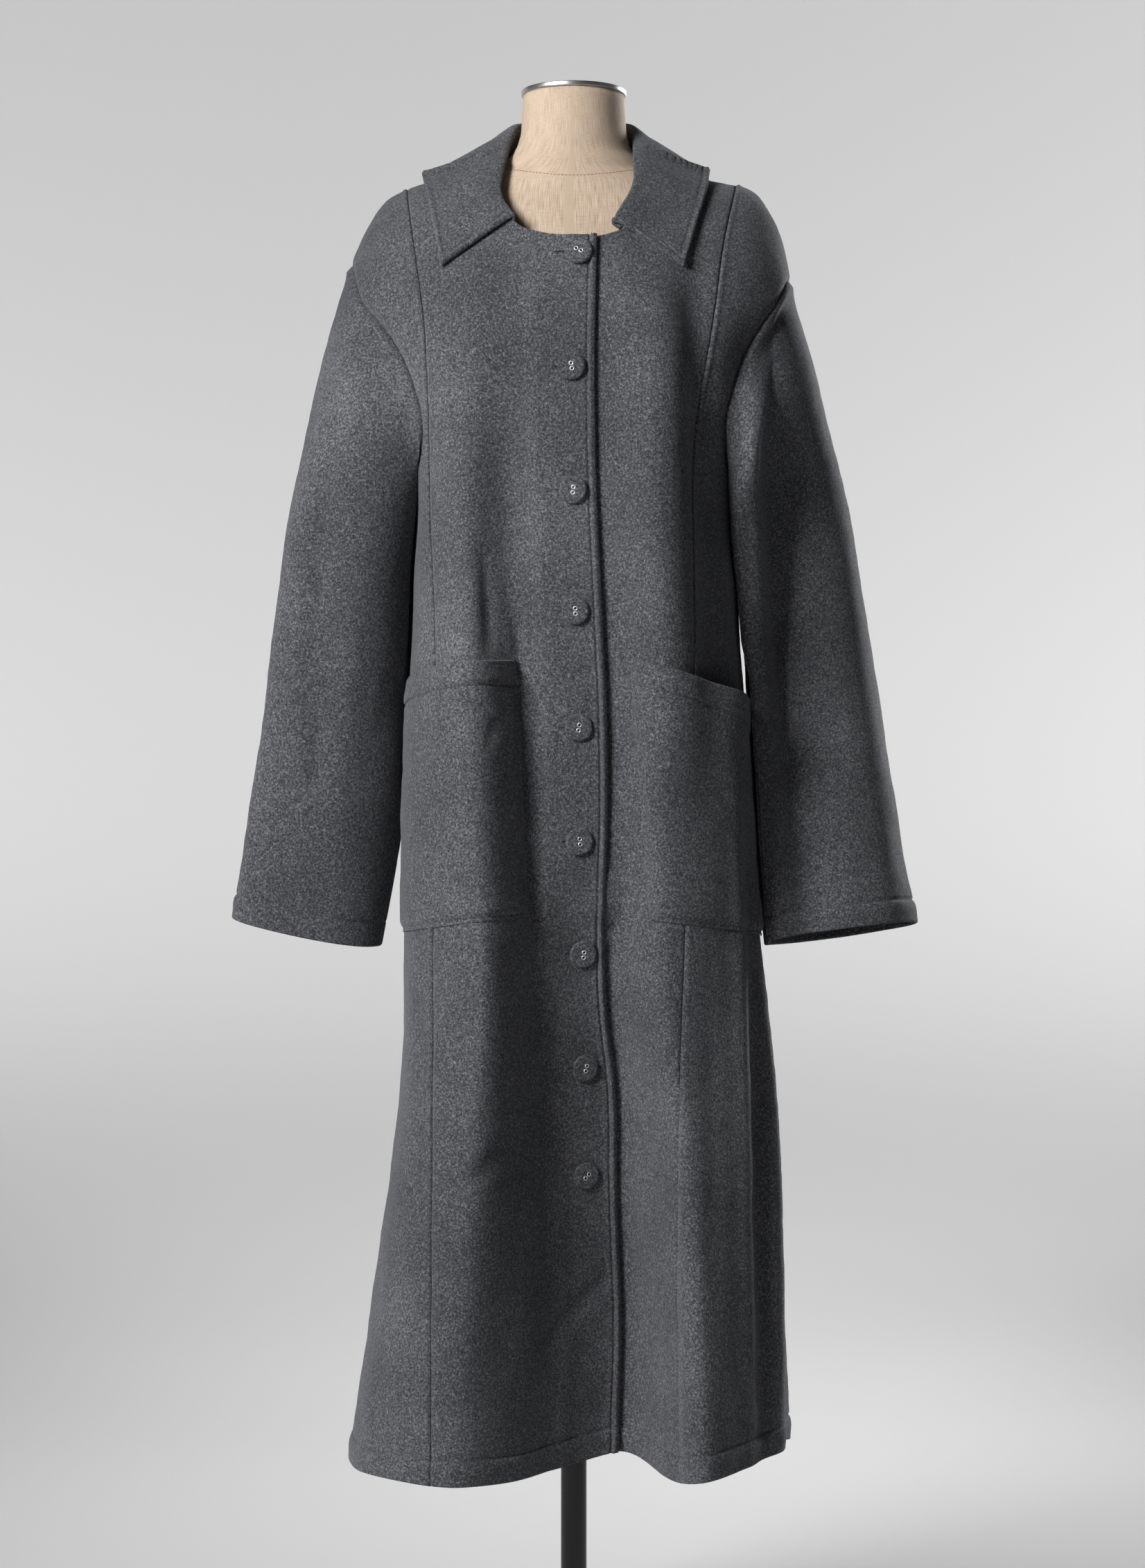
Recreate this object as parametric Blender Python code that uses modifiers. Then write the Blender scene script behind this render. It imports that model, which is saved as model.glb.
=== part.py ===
"""Long wool coat buttoned up on a limbless dress form.

Metres, +Z up. The front faces -Y, the wearer's right side is at -X,
and the origin is on the floor under the stand's pole.
"""
import math
from collections import namedtuple

import bmesh
import bpy
import numpy as np
from mathutils import Matrix, Vector
from mathutils.bvhtree import BVHTree

# Cloth and seams
COAT_WALL = 0.0025
COLLAR_WALL = 0.0030
SEAM_GAP = 0.0003

# Levels of the coat body: hem edge, underarm and the shoulder seam where it meets the front panel seam
HEM = 0.272
CHEST = 1.205
SHOULDER = 1.500
LOWER_ROWS = 13
UPPER_ROWS = 10

# How square the body's rings are, where the front starts to turn over the shoulder, and the shoulder's depth
ROUNDNESS = 2 / 2.4
TURN_START = 0.35
RIDGE_Y = 0.010

# Body rings: half widths on the wearer's right and left, depths to the front and back
Ring = namedtuple("Ring", "height right left front back")
RINGS = (
    Ring(0.272, 0.2195, 0.2090, 0.145, 0.178),
    Ring(0.450, 0.1918, 0.2030, 0.140, 0.160),
    Ring(0.650, 0.1668, 0.1925, 0.134, 0.146),
    Ring(0.800, 0.1650, 0.1785, 0.131, 0.135),
    Ring(0.950, 0.1625, 0.1690, 0.131, 0.126),
    Ring(1.100, 0.1560, 0.1600, 0.133, 0.118),
    Ring(1.205, 0.1540, 0.1545, 0.136, 0.115),
    Ring(1.300, 0.1720, 0.1720, 0.136, 0.115),
    Ring(1.400, 0.2240, 0.2190, 0.122, 0.106),
    Ring(1.500, 0.2450, 0.2380, 0.106, 0.092),
)

# Shoulder line: its height at each distance from the middle, on each side; it runs on up inside the neck
Ridge = namedtuple("Ridge", "reach right left")
RIDGE = (
    Ridge(0.0000, 1.5900, 1.5900),
    Ridge(0.0450, 1.5580, 1.5580),
    Ridge(0.0680, 1.5350, 1.5350),
    Ridge(0.0900, 1.5230, 1.5230),
    Ridge(0.1200, 1.5130, 1.5130),
    Ridge(0.1500, 1.5060, 1.5060),
    Ridge(0.1650, 1.5005, 1.5035),
    Ridge(0.1860, 1.4870, 1.4865),
    Ridge(0.2020, 1.4605, 1.4525),
    Ridge(0.2185, 1.4270, 1.3790),
)

# Panel seams from shoulder to hem: distance from the middle at each height
PanelSeam = namedtuple("PanelSeam", "height right left")
PANEL_SEAMS = (
    PanelSeam(0.272, 0.1330, 0.0987),
    PanelSeam(0.608, 0.1315, 0.0980),
    PanelSeam(0.785, 0.1310, 0.1050),
    PanelSeam(1.067, 0.1310, 0.1135),
    PanelSeam(1.205, 0.1370, 0.1160),
    PanelSeam(1.280, 0.1380, 0.1250),
    PanelSeam(1.350, 0.1415, 0.1330),
    PanelSeam(1.433, 0.1530, 0.1440),
    PanelSeam(1.500, 0.1630, 0.1590),
)

# Free edge of the front that laps over: its distance to the left of the middle
FrontEdge = namedtuple("FrontEdge", "height left")
FRONT_EDGE = (
    FrontEdge(0.272, 0.0410),
    FrontEdge(0.400, 0.0440),
    FrontEdge(0.520, 0.0410),
    FrontEdge(0.640, 0.0385),
    FrontEdge(0.700, 0.0300),
    FrontEdge(0.780, 0.0265),
    FrontEdge(0.970, 0.0260),
    FrontEdge(1.080, 0.0245),
    FrontEdge(1.200, 0.0206),
    FrontEdge(1.330, 0.0195),
    FrontEdge(1.500, 0.0175),
)
UNDERLAP = 0.045
LAP_RISE = 0.0042
LAP_RAMP_FROM = 0.025
LAP_RAMP_TO = 0.008

# Folds: angle round the body in degrees (0 is the front, 90 the wearer's left) at the hem and where the fold
# fades out, its spread in degrees, how far it stands out (or in) at the hem, and how far it lifts the hem
Fold = namedtuple("Fold", "hem_angle top_angle spread reach lift fades_at")
FOLDS = (
    Fold(-31, -52, 14, 0.020, -0.002, 1.20),
    Fold(-9, -19, 9, -0.045, -0.003, 1.20),
    Fold(4, -2, 13, -0.045, 0.006, 1.10),
    Fold(12, 11, 7, -0.006, 0.017, 0.70),
    Fold(26, 36, 12, 0.036, 0.000, 1.20),
    Fold(21, 21, 7, 0.004, -0.007, 0.60),
    Fold(72, 72, 26, 0.000, 0.010, 0.80),
    Fold(88, 88, 9, -0.013, 0.000, 0.80),
    Fold(108, 106, 11, 0.014, -0.006, 0.85),
    Fold(138, 144, 14, 0.024, 0.000, 0.95),
    Fold(158, 160, 12, -0.020, 0.006, 0.90),
    Fold(178, 176, 12, 0.018, 0.000, 0.92),
    Fold(-160, -162, 12, -0.022, 0.007, 0.88),
    Fold(-140, -147, 15, 0.022, 0.000, 0.98),
    Fold(-104, -104, 12, -0.010, -0.002, 0.75),
)
FOLD_GROWTH = 1.2

# Neck opening: half width at the shoulder, drop to the front and back, and how square each curve is
NECK_HALF = 0.078
NECK_DROP_FRONT = 0.095
NECK_DROP_BACK = 0.008
NECK_SQUARE_FRONT = 2.6
NECK_SQUARE_BACK = 2.5
NECK_CROWDING = 1.5

# Armhole: its angle round the body above the bend, and how high the bend under the arm reaches
ARM_ANGLE = math.radians(60.6)
ARM_BEND = 0.075

# Columns of each panel
SIDE_COLUMNS = 6
RIDGE_COLUMNS = 4
NECK_COLUMNS = 9
LAP_COLUMNS = 3
BACK_NECK_COLUMNS = 8

# Sleeve sections from below the armhole to the cuff: outermost and innermost points, middle and half depth,
# and how far the front is turned inward for each metre of half depth
SleeveSection = namedtuple("SleeveSection", "outer_x outer_z inner_x inner_z middle_y half_depth turn")
SLEEVE_RIGHT = (
    SleeveSection(0.2475, 1.3196, 0.1480, 1.172, -0.005, 0.0905, 0.20),
    SleeveSection(0.2680, 1.2115, 0.1505, 1.100, -0.008, 0.0855, 0.40),
    SleeveSection(0.2835, 1.1034, 0.1560, 1.020, -0.010, 0.0795, 0.42),
    SleeveSection(0.2955, 0.9953, 0.1605, 0.935, -0.014, 0.0715, 0.42),
    SleeveSection(0.3113, 0.8872, 0.1735, 0.845, -0.020, 0.0595, 0.42),
    SleeveSection(0.3260, 0.7940, 0.1880, 0.762, -0.026, 0.0445, 0.42),
)
SLEEVE_LEFT = (
    SleeveSection(0.2370, 1.3196, 0.1485, 1.172, -0.005, 0.0905, 0.20),
    SleeveSection(0.2625, 1.2115, 0.1525, 1.100, -0.008, 0.0855, 0.40),
    SleeveSection(0.2803, 1.1034, 0.1610, 1.020, -0.010, 0.0795, 0.42),
    SleeveSection(0.2975, 0.9953, 0.1655, 0.935, -0.014, 0.0715, 0.42),
    SleeveSection(0.3153, 0.8872, 0.1685, 0.845, -0.020, 0.0595, 0.42),
    SleeveSection(0.3345, 0.7865, 0.1795, 0.760, -0.026, 0.0445, 0.42),
)
SLEEVE_ROWS = 12
SLEEVE_CLEARANCE = 0.0035
POCKET_CLEARANCE = 0.0045
POCKET_LEVEL = 1.055
CLEARANCE_FADE = 0.030
CLEAR_BELOW = 1.255

# Collar stations from its right end (-1) round the back (0) to its left end (1): the roll line's point, the
# outer edge's place across and over the shoulder (0 chest, 1 shoulder line, 2 back), its height off the coat,
# and how far the leaf sags between roll and edge
CollarStation = namedtuple("CollarStation", "place roll_x roll_y roll_z across over lift sag")
COLLAR = (
    CollarStation(-1.00, -0.0565, -0.0945, 1.4550, -0.1244, 0.660, 0.0060, 0.000),
    CollarStation(-0.75, -0.0710, -0.0640, 1.4870, -0.1340, 0.820, 0.0080, 0.002),
    CollarStation(-0.60, -0.0665, -0.0360, 1.5200, -0.1410, 0.930, 0.0080, 0.005),
    CollarStation(-0.50, -0.0610, 0.0020, 1.5495, -0.1450, 1.000, 0.0090, 0.008),
    CollarStation(-0.25, -0.0430, 0.0460, 1.5710, -0.1080, 1.170, 0.0100, 0.008),
    CollarStation(0.00, 0.0000, 0.0640, 1.5770, 0.0000, 1.320, 0.0070, 0.004),
    CollarStation(0.25, 0.0430, 0.0460, 1.5710, 0.1040, 1.170, 0.0100, 0.008),
    CollarStation(0.50, 0.0590, 0.0040, 1.5510, 0.1300, 1.000, 0.0090, 0.008),
    CollarStation(0.60, 0.0585, -0.0360, 1.5250, 0.1270, 0.920, 0.0080, 0.005),
    CollarStation(0.75, 0.0570, -0.0620, 1.4940, 0.1160, 0.790, 0.0080, 0.002),
    CollarStation(1.00, 0.0370, -0.1030, 1.4475, 0.1033, 0.640, 0.0060, 0.000),
)
COLLAR_RIGHT_END = 6
COLLAR_LEFT_END = 7
COLLAR_ROLL = 0.006
COLLAR_SEAT = 0.0014
ROLL_POINTS = 4
LEAF_POINTS = 4

# Patch pockets: the inner edge's distance from the middle and height at top and bottom, the outer edge's heights,
# and how far the mouth stands off
Pocket = namedtuple("Pocket", "top_x top_in top_out bottom_x bottom_in bottom_out gape gape_at")
POCKET_RIGHT = Pocket(0.0545, 1.037, 1.018, 0.0445, 0.798, 0.777, 0.008, 0.35)
POCKET_LEFT = Pocket(0.0545, 1.037, 0.996, 0.0710, 0.792, 0.772, 0.010, 0.48)
POCKET_SIDE_ANGLE = math.radians(84)
POCKET_COLUMNS = 14
POCKET_ROWS = 9
POCKET_SEAT = 0.0014
POCKET_ROOM = 0.003
POCKET_SWELL = 2.5

# Buttons down the front, from the top: place across and height
BUTTON_RADIUS = 0.01225
BUTTON_HUB = 0.0045
BUTTON_SEAT = 0.0004
BUTTON_STEPS = 12
Button = namedtuple("Button", "across height")
BUTTONS = (
    Button(0.0045, 1.418),
    Button(-0.0020, 1.309),
    Button(-0.0006, 1.1945),
    Button(0.0016, 1.082),
    Button(0.0045, 0.973),
    Button(0.0050, 0.866),
    Button(0.0084, 0.760),
    Button(0.0103, 0.651),
    Button(0.0110, 0.547),
)

# Dress form: level rings below the shoulder and up the neck, and the shoulder's own half widths
FormRing = namedtuple("FormRing", "height half front back")
FORM_BODY = (
    FormRing(0.765, 0.060, 0.048, 0.052),
    FormRing(0.769, 0.105, 0.080, 0.088),
    FormRing(0.785, 0.130, 0.098, 0.106),
    FormRing(0.850, 0.145, 0.104, 0.113),
    FormRing(0.930, 0.143, 0.103, 0.108),
    FormRing(1.020, 0.130, 0.095, 0.092),
    FormRing(1.100, 0.117, 0.088, 0.080),
    FormRing(1.180, 0.125, 0.099, 0.084),
    FormRing(1.270, 0.137, 0.112, 0.090),
    FormRing(1.340, 0.145, 0.108, 0.092),
    FormRing(1.400, 0.156, 0.098, 0.088),
    FormRing(1.440, 0.163, 0.089, 0.082),
    FormRing(1.466, 0.164, 0.079, 0.075),
    FormRing(1.486, 0.159, 0.069, 0.068),
)
FormShoulder = namedtuple("FormShoulder", "half drop front back")
FORM_SHOULDER = (
    FormShoulder(0.149, 0.0052, 0.065, 0.064),
    FormShoulder(0.130, 0.0052, 0.063, 0.062),
    FormShoulder(0.110, 0.0056, 0.061, 0.060),
    FormShoulder(0.090, 0.0080, 0.059, 0.052),
    FormShoulder(0.073, 0.0095, 0.057, 0.048),
)
FORM_NECK = (
    FormRing(1.532, 0.0610, 0.0540, 0.0540),
    FormRing(1.541, 0.0550, 0.0530, 0.0530),
    FormRing(1.553, 0.0515, 0.0515, 0.0515),
    FormRing(1.5905, 0.0490, 0.0490, 0.0490),
)
FORM_CLEARANCE = 0.0045
FORM_FITTED_ABOVE = 1.38
FORM_NECK_BLEND = 0.05
FORM_COLUMNS = 24

# Neck cap and stand
CAP_RADIUS = 0.0512
CAP_THICKNESS = 0.0045
CAP_SKIRT = 0.0008
POLE_RADIUS = 0.0125
BASE_RADIUS = 0.175
BASE_THICKNESS = 0.008
SOCKET_RADIUS = 0.022
SOCKET_HEIGHT = 0.045
ROUND_STEPS = 32

WOOL_COLOUR = (0.075, 0.078, 0.086, 1.0)
LINEN_COLOUR = (0.53, 0.44, 0.34, 1.0)
METAL_COLOUR = (0.72, 0.72, 0.73, 1.0)
BLACK_COLOUR = (0.012, 0.012, 0.013, 1.0)


# Reading the tables
def cubic(places, values, at):
    """A smooth curve through values given at places, read at any place."""
    slopes = np.gradient(values, places, axis=0)
    at = np.clip(np.asarray(at, float), places[0], places[-1])
    i = np.clip(np.searchsorted(places, at) - 1, 0, len(places) - 2)
    span = places[i + 1] - places[i]
    t = (at - places[i]) / span
    wide = (...,) + (None,) * (np.ndim(values) - 1)
    t, span = t[wide], span[wide]
    start = values[i] * (1 + 2 * t) + slopes[i] * span * t
    end = values[i + 1] * (3 - 2 * t) - slopes[i + 1] * span * (1 - t)
    return start * (1 - t) ** 2 + end * t**2


def read(rows, name, at):
    """A table's named column, read at any place along its first column."""
    places = np.array([row[0] for row in rows])
    values = np.array([getattr(row, name) for row in rows])
    return cubic(places, values, at)


def read_sides(rows, x, at):
    """A table with a right and a left column, read on the side that x is on."""
    return np.where(np.asarray(x) < 0, read(rows, "right", at), read(rows, "left", at))


def smoothstep(t):
    t = np.clip(t, 0, 1)
    return t * t * (3 - 2 * t)


def unit(vectors):
    return vectors / np.linalg.norm(vectors, axis=-1, keepdims=True)


# The coat body's surface
def ridge_height(x):
    return read_sides(RIDGE, x, np.abs(x))


def ring_angle(x, height):
    """Angle round the front half of the body at a distance x from the middle."""
    half = read_sides(RINGS, x, height)
    share = np.clip(np.abs(x) / half, 0, 1)
    return np.sign(x) * np.arcsin(share ** (1 / ROUNDNESS))


def fold_moves(angle, height):
    """How far all folds together move the cloth outward and up."""
    degrees = np.degrees(angle)
    reach, lift = np.zeros_like(degrees), np.zeros_like(degrees)
    for fold in FOLDS:
        down = np.clip((fold.fades_at - height) / (fold.fades_at - HEM), 0, 1)
        centre = fold.top_angle + (fold.hem_angle - fold.top_angle) * down
        away = (degrees - centre + 180) % 360 - 180
        share = down**FOLD_GROWTH * np.exp(-((away / fold.spread) ** 2))
        reach += fold.reach * share
        lift += fold.lift * share
    return reach, lift


def coat_surface(angle, height):
    """Points of the coat body: level rings to the underarm, then up over the shoulder to its ridge."""
    angle, height = np.broadcast_arrays(np.asarray(angle, float), np.asarray(height, float))
    sine, cosine = np.sin(angle), np.cos(angle)
    half = read_sides(RINGS, sine, height)
    depth = np.where(cosine > 0, read(RINGS, "front", height), read(RINGS, "back", height))
    x = half * np.sign(sine) * np.abs(sine) ** ROUNDNESS
    y = -depth * np.sign(cosine) * np.abs(cosine) ** ROUNDNESS
    climb = np.clip((height - CHEST) / (SHOULDER - CHEST), 0, 1)
    turn = np.clip((climb - TURN_START) / (1 - TURN_START), 0, 1)
    y = RIDGE_Y * (1 - np.sqrt(1 - turn**2)) + y * np.sqrt(1 - turn**2)
    z = np.where(height < CHEST, height, CHEST + (ridge_height(x) - CHEST) * climb)
    reach, lift = fold_moves(angle, height)
    return np.stack((x + reach * sine, y - reach * cosine, z + lift), axis=-1)


def coat_normal(angle, height):
    """Outward normals of the coat body."""
    turn, climb = 1e-3, 1e-4
    around = coat_surface(angle + turn, height) - coat_surface(angle - turn, height)
    below = np.minimum(height, SHOULDER - climb) - climb
    above = np.minimum(below + 2 * climb, SHOULDER)
    up = coat_surface(angle, above) - coat_surface(angle, below)
    return unit(np.cross(around, up))


def coat_over(across, over):
    """A point and normal of the upper body: over runs up the front to 1 at the shoulder, then down the back to 2."""
    climb = np.where(over < 1, over, 2 - over)
    height = CHEST + (SHOULDER - CHEST) * climb
    front = ring_angle(across, height)
    angle = np.where(over < 1, front, math.pi - front)
    return coat_surface(angle, height), coat_normal(angle, height)


def body_rows():
    """Row heights: even up to the underarm, then closer towards the underarm and the shoulder."""
    lower = np.linspace(HEM, CHEST, LOWER_ROWS + 1)
    steps = np.arange(1, UPPER_ROWS + 1) / UPPER_ROWS
    upper = CHEST + (SHOULDER - CHEST) * (1 - np.cos(math.pi * steps)) / 2
    return np.concatenate((lower, upper))


def armhole_angle(height):
    """Angle from the front (or the back) at which a panel ends: the side seam, then the armhole."""
    bend = np.clip((height - CHEST) / ARM_BEND, 0, 1)
    return math.pi / 2 - (math.pi / 2 - ARM_ANGLE) * np.sqrt(1 - (1 - bend) ** 2)


def neck_height(x, drop, square):
    share = np.clip(np.abs(x) / NECK_HALF, 0, 1)
    return ridge_height(NECK_HALF) - drop * (1 - share**square) ** (1 / square)


def lap_rise(x, height):
    """How far the overlapping front stands off the one under it."""
    under = read(FRONT_EDGE, "left", height) - UNDERLAP
    ramp = (x - (under - LAP_RAMP_FROM)) / (LAP_RAMP_FROM - LAP_RAMP_TO)
    return LAP_RISE * smoothstep(ramp)


# Grids of points for each body panel, hem row first
Grid = namedtuple("Grid", "points normals")


def neck_share():
    """Distances from the middle along half of the front neck curve, as shares of its half width."""
    q = np.linspace(0, 1, NECK_COLUMNS + 1)
    return np.abs(np.cos(math.pi / 2 * q**NECK_CROWDING)) ** (2 / NECK_SQUARE_FRONT)


def trimmed_heights(rows, tops, drop, square):
    """Each column's row heights, squeezed where the neck opening cuts the column short."""
    in_neck = np.abs(tops) < NECK_HALF
    cut = (neck_height(tops, drop, square) - CHEST) / (ridge_height(tops) - CHEST)
    share = np.where(in_neck, cut, 1.0)
    above = np.maximum(rows[:, None] - CHEST, 0)
    return np.minimum(rows[:, None], CHEST) + above * share[None, :]


def front_grid(side):
    """A front panel from its panel seam to its free edge; side -1 is the overlapping right front."""
    rows = body_rows()
    seam = read(PANEL_SEAMS, "right" if side < 0 else "left", rows)
    edge = read(FRONT_EDGE, "left", rows)
    lap = edge if side < 0 else UNDERLAP - edge
    ridge = np.linspace(seam[-1], NECK_HALF, RIDGE_COLUMNS + 1)
    neck = NECK_HALF * neck_share()[1:]
    lapped = -lap[-1] * np.arange(1, LAP_COLUMNS + 1) / LAP_COLUMNS
    tops = np.concatenate((ridge, neck, lapped))
    even = np.linspace(0, 1, len(tops))
    plain = seam[:, None] + (-lap - seam)[:, None] * even[None, :]
    shaped = np.where(tops > 0, tops * seam[:, None] / seam[-1], tops * lap[:, None] / lap[-1])
    blend = smoothstep((rows - CHEST) / (SHOULDER - CHEST))[:, None]
    across = side * (plain * (1 - blend) + shaped * blend)
    heights = trimmed_heights(rows, side * tops, NECK_DROP_FRONT, NECK_SQUARE_FRONT)
    angles = ring_angle(across, heights)
    points, normals = coat_surface(angles, heights), coat_normal(angles, heights)
    if side < 0:
        points = points + normals * lap_rise(across, heights)[..., None]
    return Grid(points, normals)


def side_angles(side, rows):
    """A side front panel's angles, from the panel seam to the side seam and armhole."""
    seam = read(PANEL_SEAMS, "right" if side < 0 else "left", rows)
    start = np.abs(ring_angle(side * seam, rows))
    share = np.linspace(0, 1, SIDE_COLUMNS + 1)
    return start[:, None] + (armhole_angle(rows) - start)[:, None] * share[None, :]


def side_grid(side):
    rows = body_rows()
    angles = side * side_angles(side, rows)
    heights = np.broadcast_to(rows[:, None], angles.shape)
    return Grid(coat_surface(angles, heights), coat_normal(angles, heights))


def back_grid():
    """The back from the right side seam and armhole to the left, its top edge meeting the fronts' shoulders."""
    rows = body_rows()
    halves = []
    for side in (-1, 1):
        outer = side_angles(side, rows[-1:])[0][::-1]
        seam = read(PANEL_SEAMS, "right" if side < 0 else "left", SHOULDER)
        ridge = np.linspace(seam, NECK_HALF, RIDGE_COLUMNS + 1)[1:]
        halves.append(np.concatenate((outer, np.abs(ring_angle(side * ridge, SHOULDER)))))
    neck_across = np.linspace(-NECK_HALF, NECK_HALF, BACK_NECK_COLUMNS + 1)[1:-1]
    tops = np.concatenate((-halves[0], ring_angle(neck_across, SHOULDER), halves[1][::-1]))
    angles = math.pi - tops[None, :] * (armhole_angle(rows) / ARM_ANGLE)[:, None]
    reach = len(halves[0])
    across = np.full(len(tops), 1.0)
    across[reach:-reach] = neck_across
    heights = trimmed_heights(rows, across, NECK_DROP_BACK, NECK_SQUARE_BACK)
    return Grid(coat_surface(angles, heights), coat_normal(angles, heights))


# Sleeves
Armhole = namedtuple("Armhole", "points normals through")


def armhole_loop(side, side_panel, back):
    """The armhole's points from the shoulder tip down the front and up the back, with the body's normals."""
    edge = 0 if side < 0 else -1
    front_part = slice(None, LOWER_ROWS - 1, -1)
    back_part = slice(LOWER_ROWS + 1, -1)
    points = np.concatenate((side_panel.points[front_part, -1], back.points[back_part, edge]))
    normals = np.concatenate((side_panel.normals[front_part, -1], back.normals[back_part, edge]))
    return points, normals


def sleeve_ring(side, section, count):
    """One section of a sleeve: an ellipse between its outermost and innermost points, its front turned inward."""
    outer = np.array((side * section.outer_x, section.middle_y, section.outer_z))
    inner = np.array((side * section.inner_x, section.middle_y, section.inner_z))
    forward = section.half_depth * np.array((-side * section.turn, -1.0, 0.0))
    half = (outer - inner) / 2
    half = half * math.sqrt(1 - (forward[0] / half[0]) ** 2)
    angle = 2 * math.pi * np.arange(count)[:, None] / count
    return (outer + inner) / 2 + half * np.cos(angle) + forward * np.sin(angle)


def clear_of_body(side, points):
    """Move sleeve points out sideways until they clear the coat's side."""
    x, y, z = np.moveaxis(points, -1, 0)
    room = SLEEVE_CLEARANCE * np.clip((CLEAR_BELOW - z) / CLEARANCE_FADE, 0, 1)
    room = room + POCKET_CLEARANCE * np.clip((POCKET_LEVEL - z) / CLEARANCE_FADE, 0, 1)
    level = np.minimum(z, CLEAR_BELOW)
    half = read_sides(RINGS, np.full_like(x, side), level) + room
    depth = np.where(y < 0, read(RINGS, "front", level), read(RINGS, "back", level)) + room
    power = 2 / ROUNDNESS
    limit = half * np.maximum(1 - (np.abs(y) / depth) ** power, 0) ** (1 / power)
    pushed = np.where(z < CLEAR_BELOW, np.maximum(np.abs(x), limit), np.abs(x))
    return np.stack((side * pushed, y, z), axis=-1)


def sleeve_grid(side, loop, body_normals):
    """A sleeve from the armhole to the cuff, and the directions shared with the body along the armhole."""
    sections = SLEEVE_RIGHT if side < 0 else SLEEVE_LEFT
    rings = [loop] + [sleeve_ring(side, section, len(loop)) for section in sections]
    places = np.arange(len(rings), dtype=float)
    points = cubic(places, np.array(rings), np.linspace(0, places[-1], SLEEVE_ROWS + 1))
    points[1:] = clear_of_body(side, points[1:])
    around = np.roll(points, -1, axis=1) - np.roll(points, 1, axis=1)
    down = np.gradient(points, axis=0)
    normals = unit(np.cross(around, down)) * side
    along = unit(around[0])
    into_body = np.cross(body_normals, along) * -side
    fall = points[1] - points[0]
    into_sleeve = unit(fall - along * np.sum(fall * along, axis=-1, keepdims=True))
    through = unit(into_sleeve - into_body)
    through = unit(2 * through + np.roll(through, 1, axis=0) + np.roll(through, -1, axis=0))
    normals[0] = unit(np.cross(through, along)) * -side
    return Grid(points, normals), Armhole(points[0], normals[0], through)


def fit_armhole(side, side_panel, back, armhole):
    """Give the body's armhole edges the normals and the seam gap that the sleeve's edge has."""
    edge = 0 if side < 0 else -1
    shift = -armhole.through * SEAM_GAP / 2
    front_part = slice(None, LOWER_ROWS - 1, -1)
    front_count = UPPER_ROWS + 1
    side_panel.normals[front_part, -1] = armhole.normals[:front_count]
    side_panel.points[front_part, -1] = armhole.points[:front_count] + shift[:front_count]
    order = np.r_[UPPER_ROWS : 2 * UPPER_ROWS, 0]
    back.normals[LOWER_ROWS:, edge] = armhole.normals[order]
    back.points[LOWER_ROWS:, edge] = armhole.points[order] + shift[order]


# Collar
def neckline(front_right, back, front_left):
    """Points and normals round the neck opening under the collar, from its right end to its left end."""
    corner = RIDGE_COLUMNS
    first = corner + COLLAR_RIGHT_END
    last = corner + COLLAR_LEFT_END
    back_first = SIDE_COLUMNS + RIDGE_COLUMNS + 1
    parts = []
    for field in ("points", "normals"):
        right = getattr(front_right, field)[-1, corner : first + 1][::-1]
        middle = getattr(back, field)[-1, back_first : back_first + BACK_NECK_COLUMNS - 1]
        left = getattr(front_left, field)[-1, corner : last + 1]
        parts.append(np.concatenate((right, middle, left)))
    halves = (COLLAR_RIGHT_END, BACK_NECK_COLUMNS, COLLAR_LEFT_END)
    stops = np.cumsum((0,) + halves)
    place = np.interp(np.arange(stops[-1] + 1), stops, (-1.0, -0.5, 0.5, 1.0))
    return parts[0], parts[1], place


def clear_of_coat(points, at_back, lift):
    """Lift points of the collar's leaf until they clear the shoulder under them."""
    ridge = ridge_height(points[:, 0])
    climb = np.minimum((points[:, 2] - CHEST) / (ridge - CHEST), 1)
    under, normal = coat_over(points[:, 0], np.where(at_back, 2 - climb, climb))
    above = np.sum((points - under) * normal, axis=-1)
    return points + normal * np.maximum(lift - above, 0)[:, None]


def collar_grid(front_right, back, front_left):
    """The collar's middle surface: stand, roll and leaf at each station of the neckline."""
    seam, normals, place = neckline(front_right, back, front_left)
    foot = seam - normals * COAT_WALL / 2
    lift, sag = read(COLLAR, "lift", place), read(COLLAR, "sag", place)
    edge, edge_normal = coat_over(read(COLLAR, "across", place), read(COLLAR, "over", place))
    edge = edge + edge_normal * lift[:, None]
    roll = np.stack([read(COLLAR, name, place) for name in ("roll_x", "roll_y", "roll_z")], axis=-1)
    up = np.array((0.0, 0.0, 1.0))
    outward = unit((edge - roll) * (1 - up))
    along = unit(np.gradient(foot, axis=0))
    across = roll - foot
    across = across - along * np.sum(across * along, axis=-1, keepdims=True)
    start = foot + unit(across) * COLLAR_SEAT
    columns = [start, (start + roll) / 2]
    for step in range(ROLL_POINTS + 1):
        turn = math.pi * (1 - step / ROLL_POINTS)
        columns.append(roll + COLLAR_ROLL * (outward * (1 + math.cos(turn)) + up * math.sin(turn)))
    shoulder = columns[-1]
    at_back = np.abs(place) < 0.5
    for step in range(1, LEAF_POINTS + 1):
        share = step / LEAF_POINTS
        leaf = shoulder + (edge - shoulder) * share - up * (sag * math.sin(math.pi * share))[:, None]
        columns.append(clear_of_coat(leaf, at_back, lift))
    points = np.stack(columns)
    faces = unit(np.cross(np.gradient(points, axis=0), np.gradient(points, axis=1)))
    same = np.sign(np.sum(faces[0] * normals, axis=-1, keepdims=True))
    faces[0] = normals * same
    return Grid(points, faces)


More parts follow.
